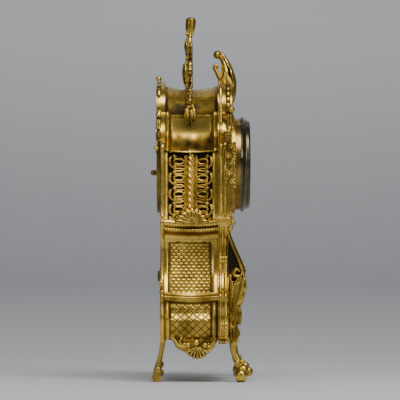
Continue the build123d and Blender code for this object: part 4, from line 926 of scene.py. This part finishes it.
def leg():
    """The left front leg: a console that scrolls over the waist with a sheet behind it, painted dark as the
    shadow in the gap, acanthus on its knee, and a paw of balls on a pad."""
    x = FOOT_MIDDLE
    strand = scroll([(-31.5, 187), (-33.5, 178), (-37.5, 167), (-42.0, 156), (-46.4, 146), (-50.6, 135)], 70,
                    None, (7.2, 1.1, 1))
    body = smooth([(-45, 123), (-46.8, 118), (-46.6, 109), (-44.4, 101), (-41.2, 91), (-39.6, 81),
                   (-39.4, 71), (-40.6, 60), (-40.6, 51), (-40.2, 44), (-41.6, 34), (-45, 25),
                   (-47, 18)], 110)
    lining = smooth([(-35.4, 131), (-36.2, 122), (-36.6, 110), (-36.2, 97), (-35.6, 82), (-36.4, 66),
                     (-37, 50)], 50)
    shapes = [
        sweep(in_yz(strand, x), [2.2, 2.8, 3.2, 3.4, 3.4, 3.2, 2.8, 2.2, 1.7],
              [4.5, 5.6, 6.2, 6.6, 7.0, 7.4, 7.0, 6.0, 5.0], LEFT, 14, lambda u, a: 0.07 * np.cos(3 * a)),
        sweep(in_yz(body, x), [4.0, 5.4, 6.4, 6.0, 5.2, 4.6, 4.4, 5.0, 4.6, 3.9, 4.0, 4.6, 5.6],
              [5.6, 7.0, 8.0, 8.2, 7.4, 6.6, 6.4, 6.6, 5.8, 5.0, 5.0, 5.8, 6.6], LEFT, 20,
              lambda u, a: 0.05 * np.cos(5 * a) * between(u, 0.05, 0.6, 0.1)),
        sweep(in_yz(lining, x - 1.0), [1.6, 2.2, 3.2, 3.4, 3.4, 3.4, 3.0], 6.0, LEFT, 10),
        balls([(x - 7.2, -37.9, z) for z in np.arange(97, 122, 2.9)], 1.35, 10),
        balls([(x - 6.5, -52.0, 124.0), (x - 5.0, -46.4, 121.0)], [2.0, 1.8]),
    ]
    v = np.linspace(0, 1, 6)[None]
    behind = smooth([(-34, 181), (-36.5, 170), (-41, 159), (-45.5, 148), (-49, 138), (-48, 126),
                     (-46, 118)], 30)
    gap_shadow_sheet = np.stack([x - 1.5 + 0 * behind[:, :1] + 0 * v, behind[:, :1] * v - 33.0 * (1 - v),
                    behind[:, 1:] + 0 * v], -1)
    # The sheet is given full hollow value so it shows dark, as painted shadow in the gap behind the scroll.
    shapes.append(slab(gap_shadow_sheet, gap_shadow_sheet + [3.0, 0, 0], 1.0))
    for side in (-1, 1):
        out = (side, 0, 0)
        for rib, width in (([(-41.5, 92), (-44.5, 104), (-47.6, 117), (-48.5, 127)], 6.2),
                           ([(-40, 90), (-41.6, 104), (-43.6, 117), (-45, 127)], 4.4),
                           ([(-43.5, 93), (-47.8, 104), (-50.8, 114), (-52, 123)], 4.4),
                           ([(-39.5, 92), (-38.6, 84), (-37.0, 77), (-34.8, 71.5)], 3.4),
                           ([(-41, 92), (-41.4, 83), (-41.0, 75), (-40.2, 68.6)], 3.6),
                           ([(-43, 92), (-44.4, 83), (-45.2, 76), (-44.8, 69.5)], 3.4),
                           ([(-40.5, 49), (-41.4, 55), (-42.6, 61), (-43.2, 67)], 4.6)):
            path = in_yz(np.array(rib, float), x + side * 7.8)
            shapes.append(leaf(path, width * 1.15, out, 0.3, 2, 1.5, 26, 11, 0.1))
        tie = scroll([(-38.2, 66), (-40.6, 60.5), (-40, 55)], 26, (2.2, 0.8, -1), (2.2, 0.8, -1))
        shapes.append(sweep(in_yz(tie, x + side * 6.4), 1.3, 2.4, out, 8))
    for aside, width in ((0, 5.4), (-5.2, 4.2), (5.2, 4.2)):
        rib = np.array([(x + aside * k, y, z) for k, y, z in (
            (0.8, -46.4, 91), (1, -51.0, 103), (1, -53.0, 116), (0.8, -51.5, 128), (0.5, -50.2, 134))])
        shapes.append(leaf(rib, width, FRONT, 0.4, 5, 1.5, 38, 9, 0.25))
        tip = np.array([(x + aside * k, y, z) for k, y, z in (
            (0.7, -45.2, 92), (1, -47.6, 84), (1, -47.6, 76), (0.9, -46.2, 69))])
        shapes.append(leaf(tip, 3.4, FRONT, 0.5, 3, 1.4, 18, 7))
    shapes.append(balls([(x, -57.4, 12.8), (x - 5.2, -48.4, 8.4), (x + 5.2, -48.4, 8.4),
                         (x - 4.6, -49.8, 24.2), (x + 4.6, -49.8, 24.2), (x - 5.4, -43.8, 23.6),
                         (x + 5.4, -43.8, 23.6), (x, -50.5, 14)],
                        [5.6, 7.6, 7.6, 3.2, 3.2, 3.6, 3.6, 8.0], 18))
    shapes.append(balls([(x, -48.4, 3.0)], [8.6], 20, (0.95, 0.8, 0.34)))
    return shapes


pair("front_leg_console", leg(), gilt, ["front_leg"])


def front_drop():
    """The shell and scrolls that hang between the front legs."""
    half = [(46, 61), (38, 56), (30, 51), (20, 47), (15, 45)]
    low = smooth(half + [(0, 41)] + [(-x, z) for x, z in half[::-1]], 90)
    roll = sweep(in_xz(low, -40.5), [1.6, 2.6, 3.0, 2.6, 1.6], [2.2, 3.0, 3.2, 3.0, 2.2], FRONT, 12,
                 lambda u, a: 0.10 * np.cos(40 * PI * u))
    v = np.linspace(0, 1, 10)[None]
    grid = np.stack([low[:, :1] + 0 * v, -40.0 + 0 * low[:, :1] + 0 * v, low[:, 1:] * v + 64.0 * (1 - v)], -1)
    shapes = [roll, slab(grid, grid + [0, 2.4, 0], 0.1 + 0.25 * v + 0 * grid[..., 0]),
              shell((0, 60), 23, math.radians(205), math.radians(335), 9,
                    lambda a, b, h: np.stack([a, -40.4 - h, b], -1), 4.6, 2.0)]
    for side in (1, -1):
        volute = (4, 0.9, side)
        curve = scroll([(side * 14, 60), (side * 26, 62), (side * 40, 66)], 50, volute, volute)
        shapes.append(sweep(in_xz(curve, -41.5), 1.7, 2.4, FRONT, 10))
    return shapes + flower((0, -43.0, 60), 5.5, FRONT)


piece("front_drop", front_drop(), gilt, stands_for=["front_apron"])


def back_leg_edge():
    """The rounded face of the back leg's flat scroll, and the toe it turns up on."""
    x = -101.5
    line = smooth([(47.4, 60), (47.6, 50), (48.6, 38), (51.2, 27), (53.8, 16), (55.0, 9)], 50)
    return [sweep(in_yz(line, x), [1.4, 1.7, 1.8, 2.0, 2.8, 3.4], 7.8, LEFT, 14),
            balls([(x - 5, 51.8, 15.0), (x + 5, 51.8, 15.0), (x, 54.6, 5.2)], [4.2, 4.2, 4.6], 16,
                  (1.0, 1.0, 1.1))]


pair("back_leg_scroll", back_leg_edge(), gilt)

# ---- the dial ---------------------------------------------------------------------------------


def stroke(a, b, width, y):
    """One painted stroke between two points of the dial."""
    a, b = np.asarray(a, float), np.asarray(b, float)
    across = unit(np.array([-(b - a)[1], (b - a)[0]])) * width / 2
    corners = [a - across, a + across, b + across, b - across]
    points = np.array([(x, h, z) for h in (y, y + 0.25) for x, z in corners])
    faces = np.array([(0, 1, 2, 3), (7, 6, 5, 4), (0, 4, 5, 1), (1, 5, 6, 2), (2, 6, 7, 3), (3, 7, 4, 0)])
    return points, faces, np.zeros(8)


NUMERALS = ["XII", "I", "II", "III", "IIII", "V", "VI", "VII", "VIII", "IX", "X", "XI"]


def dial_marks():
    """Roman hours on the plaques, read from the centre, and sixty fine minute strokes outside them."""
    y = extent("numeral_plaques")[0][1] - 0.26
    shapes = []
    for hour, text in enumerate(NUMERALS):
        angle = hour * TAU / 12
        up, over = np.array([math.sin(angle), math.cos(angle)]), np.array([math.cos(angle), -math.sin(angle)])
        middle = np.array([0, DIAL_Z]) + up * 38.5
        widths = [{"I": 1.5, "V": 3.2, "X": 3.2}[c] for c in text]
        scale = min(1.0, 9.4 / sum(widths))
        left = -sum(widths) * scale / 2
        for letter, wide in zip(text, widths):
            a, b = left + 0.2, left + wide * scale - 0.2
            left += wide * scale
            lines = {"I": [((a + b) / 2, 3.1, (a + b) / 2, -3.1, 0.72)],
                     "V": [(a, 3.1, (a + b) / 2, -3.1, 0.72), (b, 3.1, (a + b) / 2, -3.1, 0.32)],
                     "X": [(a, 3.1, b, -3.1, 0.72), (b, 3.1, a, -3.1, 0.32)]}[letter]
            for x0, z0, x1, z1, heavy in lines:
                shapes.append(stroke(middle + over * x0 + up * z0, middle + over * x1 + up * z1,
                                     heavy * scale, y))
    dial_y = DIAL_LOW[1] - 0.26
    for minute in range(60):
        way = np.array([math.sin(minute * TAU / 60), math.cos(minute * TAU / 60)])
        shapes.append(stroke(np.array([0, DIAL_Z]) + way * 46.6, np.array([0, DIAL_Z]) + way * 48.6,
                             0.7 if minute % 5 == 0 else 0.3, dial_y))
    return shapes


piece("dial_numerals", dial_marks(), blued, slot="blued_steel")


def dial_relief():
    """The dial's chased middle: a ring of scrolls and small leaves between plaques and centre."""
    y = DIAL_LOW[1] - 0.2
    shapes = []
    t = np.linspace(0, TAU, 72, endpoint=False)
    for r in (29.6, 17.6):
        ring = np.column_stack([r * np.cos(t), np.full(72, y), DIAL_Z + r * np.sin(t)])
        shapes.append(sweep(ring, 0.55, 0.8, FRONT, 8, closed=True))
    for k in range(12):
        angle = (k + 0.5) * TAU / 12
        up = np.array([math.sin(angle), math.cos(angle)])
        middle = np.array([0, DIAL_Z])
        for base_r, tip_r, width in ((31, 44.5, 2.4), (19, 28, 2.6)):
            rib = np.array([middle + up * r for r in np.linspace(base_r, tip_r, 4)])
            if base_r > 30 or k % 3 != 1:
                shapes.append(leaf(in_xz(rib, y + 0.2), width, FRONT, 0.28, 3, 0.5, 14, 7))
    return shapes


piece("dial_chasing", dial_relief(), gilt, slot="dial_gilt")


def bezel_lip():
    """The rounded lip that holds the glass in the bezel: a ring about the dial's centre."""
    turn = np.linspace(0, TAU, 120, endpoint=False)
    ring = np.column_stack([51.6 * np.cos(turn), np.full(120, -58.4), DIAL_Z + 51.6 * np.sin(turn)])
    return sweep(ring, 3.0, 2.7, FRONT, 16, closed=True)


piece("bezel_lip", [bezel_lip()], bezel_metal, body="bezel", slot="bezel_bronze")

# ---- floor, light and camera ------------------------------------------------------------------


def studio_floor():
    """A pale seamless sweep: level under the clock, then curving up into a backdrop well behind it, with
    light and shade painted into its colour by height.
    """
    bend = np.linspace(0, PI / 2, 24)[1:]
    run = np.concatenate([np.linspace(-4.0, 1.6, 30), 1.6 + 1.2 * np.sin(bend), np.full(12, 2.8)])
    rise = np.concatenate([np.zeros(30), 1.2 - 1.2 * np.cos(bend), np.linspace(1.3, 4.5, 12)])
    y = np.linspace(-4, 4, 12)
    x, yy = np.meshgrid(run, y, indexing="ij")
    z = np.broadcast_to(rise[:, None], x.shape)
    points = np.stack([x, yy, z], -1).reshape(-1, 3)
    index = np.arange(len(points)).reshape(x.shape)
    faces = np.stack([index[:-1, :-1], index[1:, :-1], index[1:, 1:], index[:-1, 1:]], -1).reshape(-1, 4)
    data = bpy.data.meshes.new("studio_floor")
    data.from_pydata(points.tolist(), [], faces.tolist())
    data.polygons.foreach_set("use_smooth", np.ones(len(faces), bool))
    floor = bpy.data.objects.new("studio_floor", data)
    bpy.context.collection.objects.link(floor)
    paper, tree, shader, place = blank("seamless_paper_painted_shade")
    height = node(tree, "ShaderNodeSeparateXYZ", {"Vector": place}).outputs["Z"]
    shade = maths(tree, "MULTIPLY_ADD", noise(tree, place, 300, 3), 0.01, height)
    # Painted light and shade: light on the floor, darkening up the bend to about 0.13 m, lighter again higher
    # up the backdrop.
    painted_light_tone = ramp(tree, shade, [(0.0, hue("E2E4E6")), (0.05, hue("CDCFD1")), (0.13, hue("B6B9BB")),
                              (0.75, hue("E0E2E4"))])
    tree.links.new(painted_light_tone, shader.inputs["Base Color"])
    shader.inputs["Roughness"].default_value = 0.9
    data.materials.append(paper)


def softbox(name, place, target, wide, tall, power, tint="FFFFFF"):
    """A rectangular light that faces a point."""
    data = bpy.data.lights.new(name, "AREA")
    data.shape = "RECTANGLE"
    data.size, data.size_y, data.energy = wide, tall, power
    data.color = hue(tint)[:3]
    lamp = bpy.data.objects.new(name, data)
    lamp.location = place
    lamp.rotation_euler = (Vector(target) - Vector(place)).to_track_quat("-Z", "Y").to_euler()
    bpy.context.collection.objects.link(lamp)


studio_floor()
softbox("top_softbox", (-1.0, -0.3, 1.8), (0, 0, 0.2), 1.3, 0.9, 26)
softbox("side_softbox_front", (-1.7, -1.2, 1.0), (0, 0, 0.2), 0.5, 1.0, 6)
softbox("side_softbox_back", (-1.6, 1.4, 1.1), (0, 0, 0.25), 0.5, 1.0, 5)
softbox("backdrop_light", (1.3, 0, 2.4), (2.8, 0, 1.0), 2.4, 0.5, 15)

world = bpy.data.worlds.new("studio_room")
bpy.context.scene.world = world
world.use_nodes = True
background = world.node_tree.nodes["Background"]
background.inputs["Color"].default_value = hue("B9BCC6")
background.inputs["Strength"].default_value = 0.2

lens = bpy.data.cameras.new("product_camera")
lens.sensor_width, lens.lens = 36.0, 216.0
camera = bpy.data.objects.new("product_camera", lens)
camera.location = (-3.0, 0.0011, 0.110)
camera.rotation_euler = (math.radians(90 + 2.165), 0, math.radians(-90))
bpy.context.collection.objects.link(camera)
bpy.context.scene.camera = camera
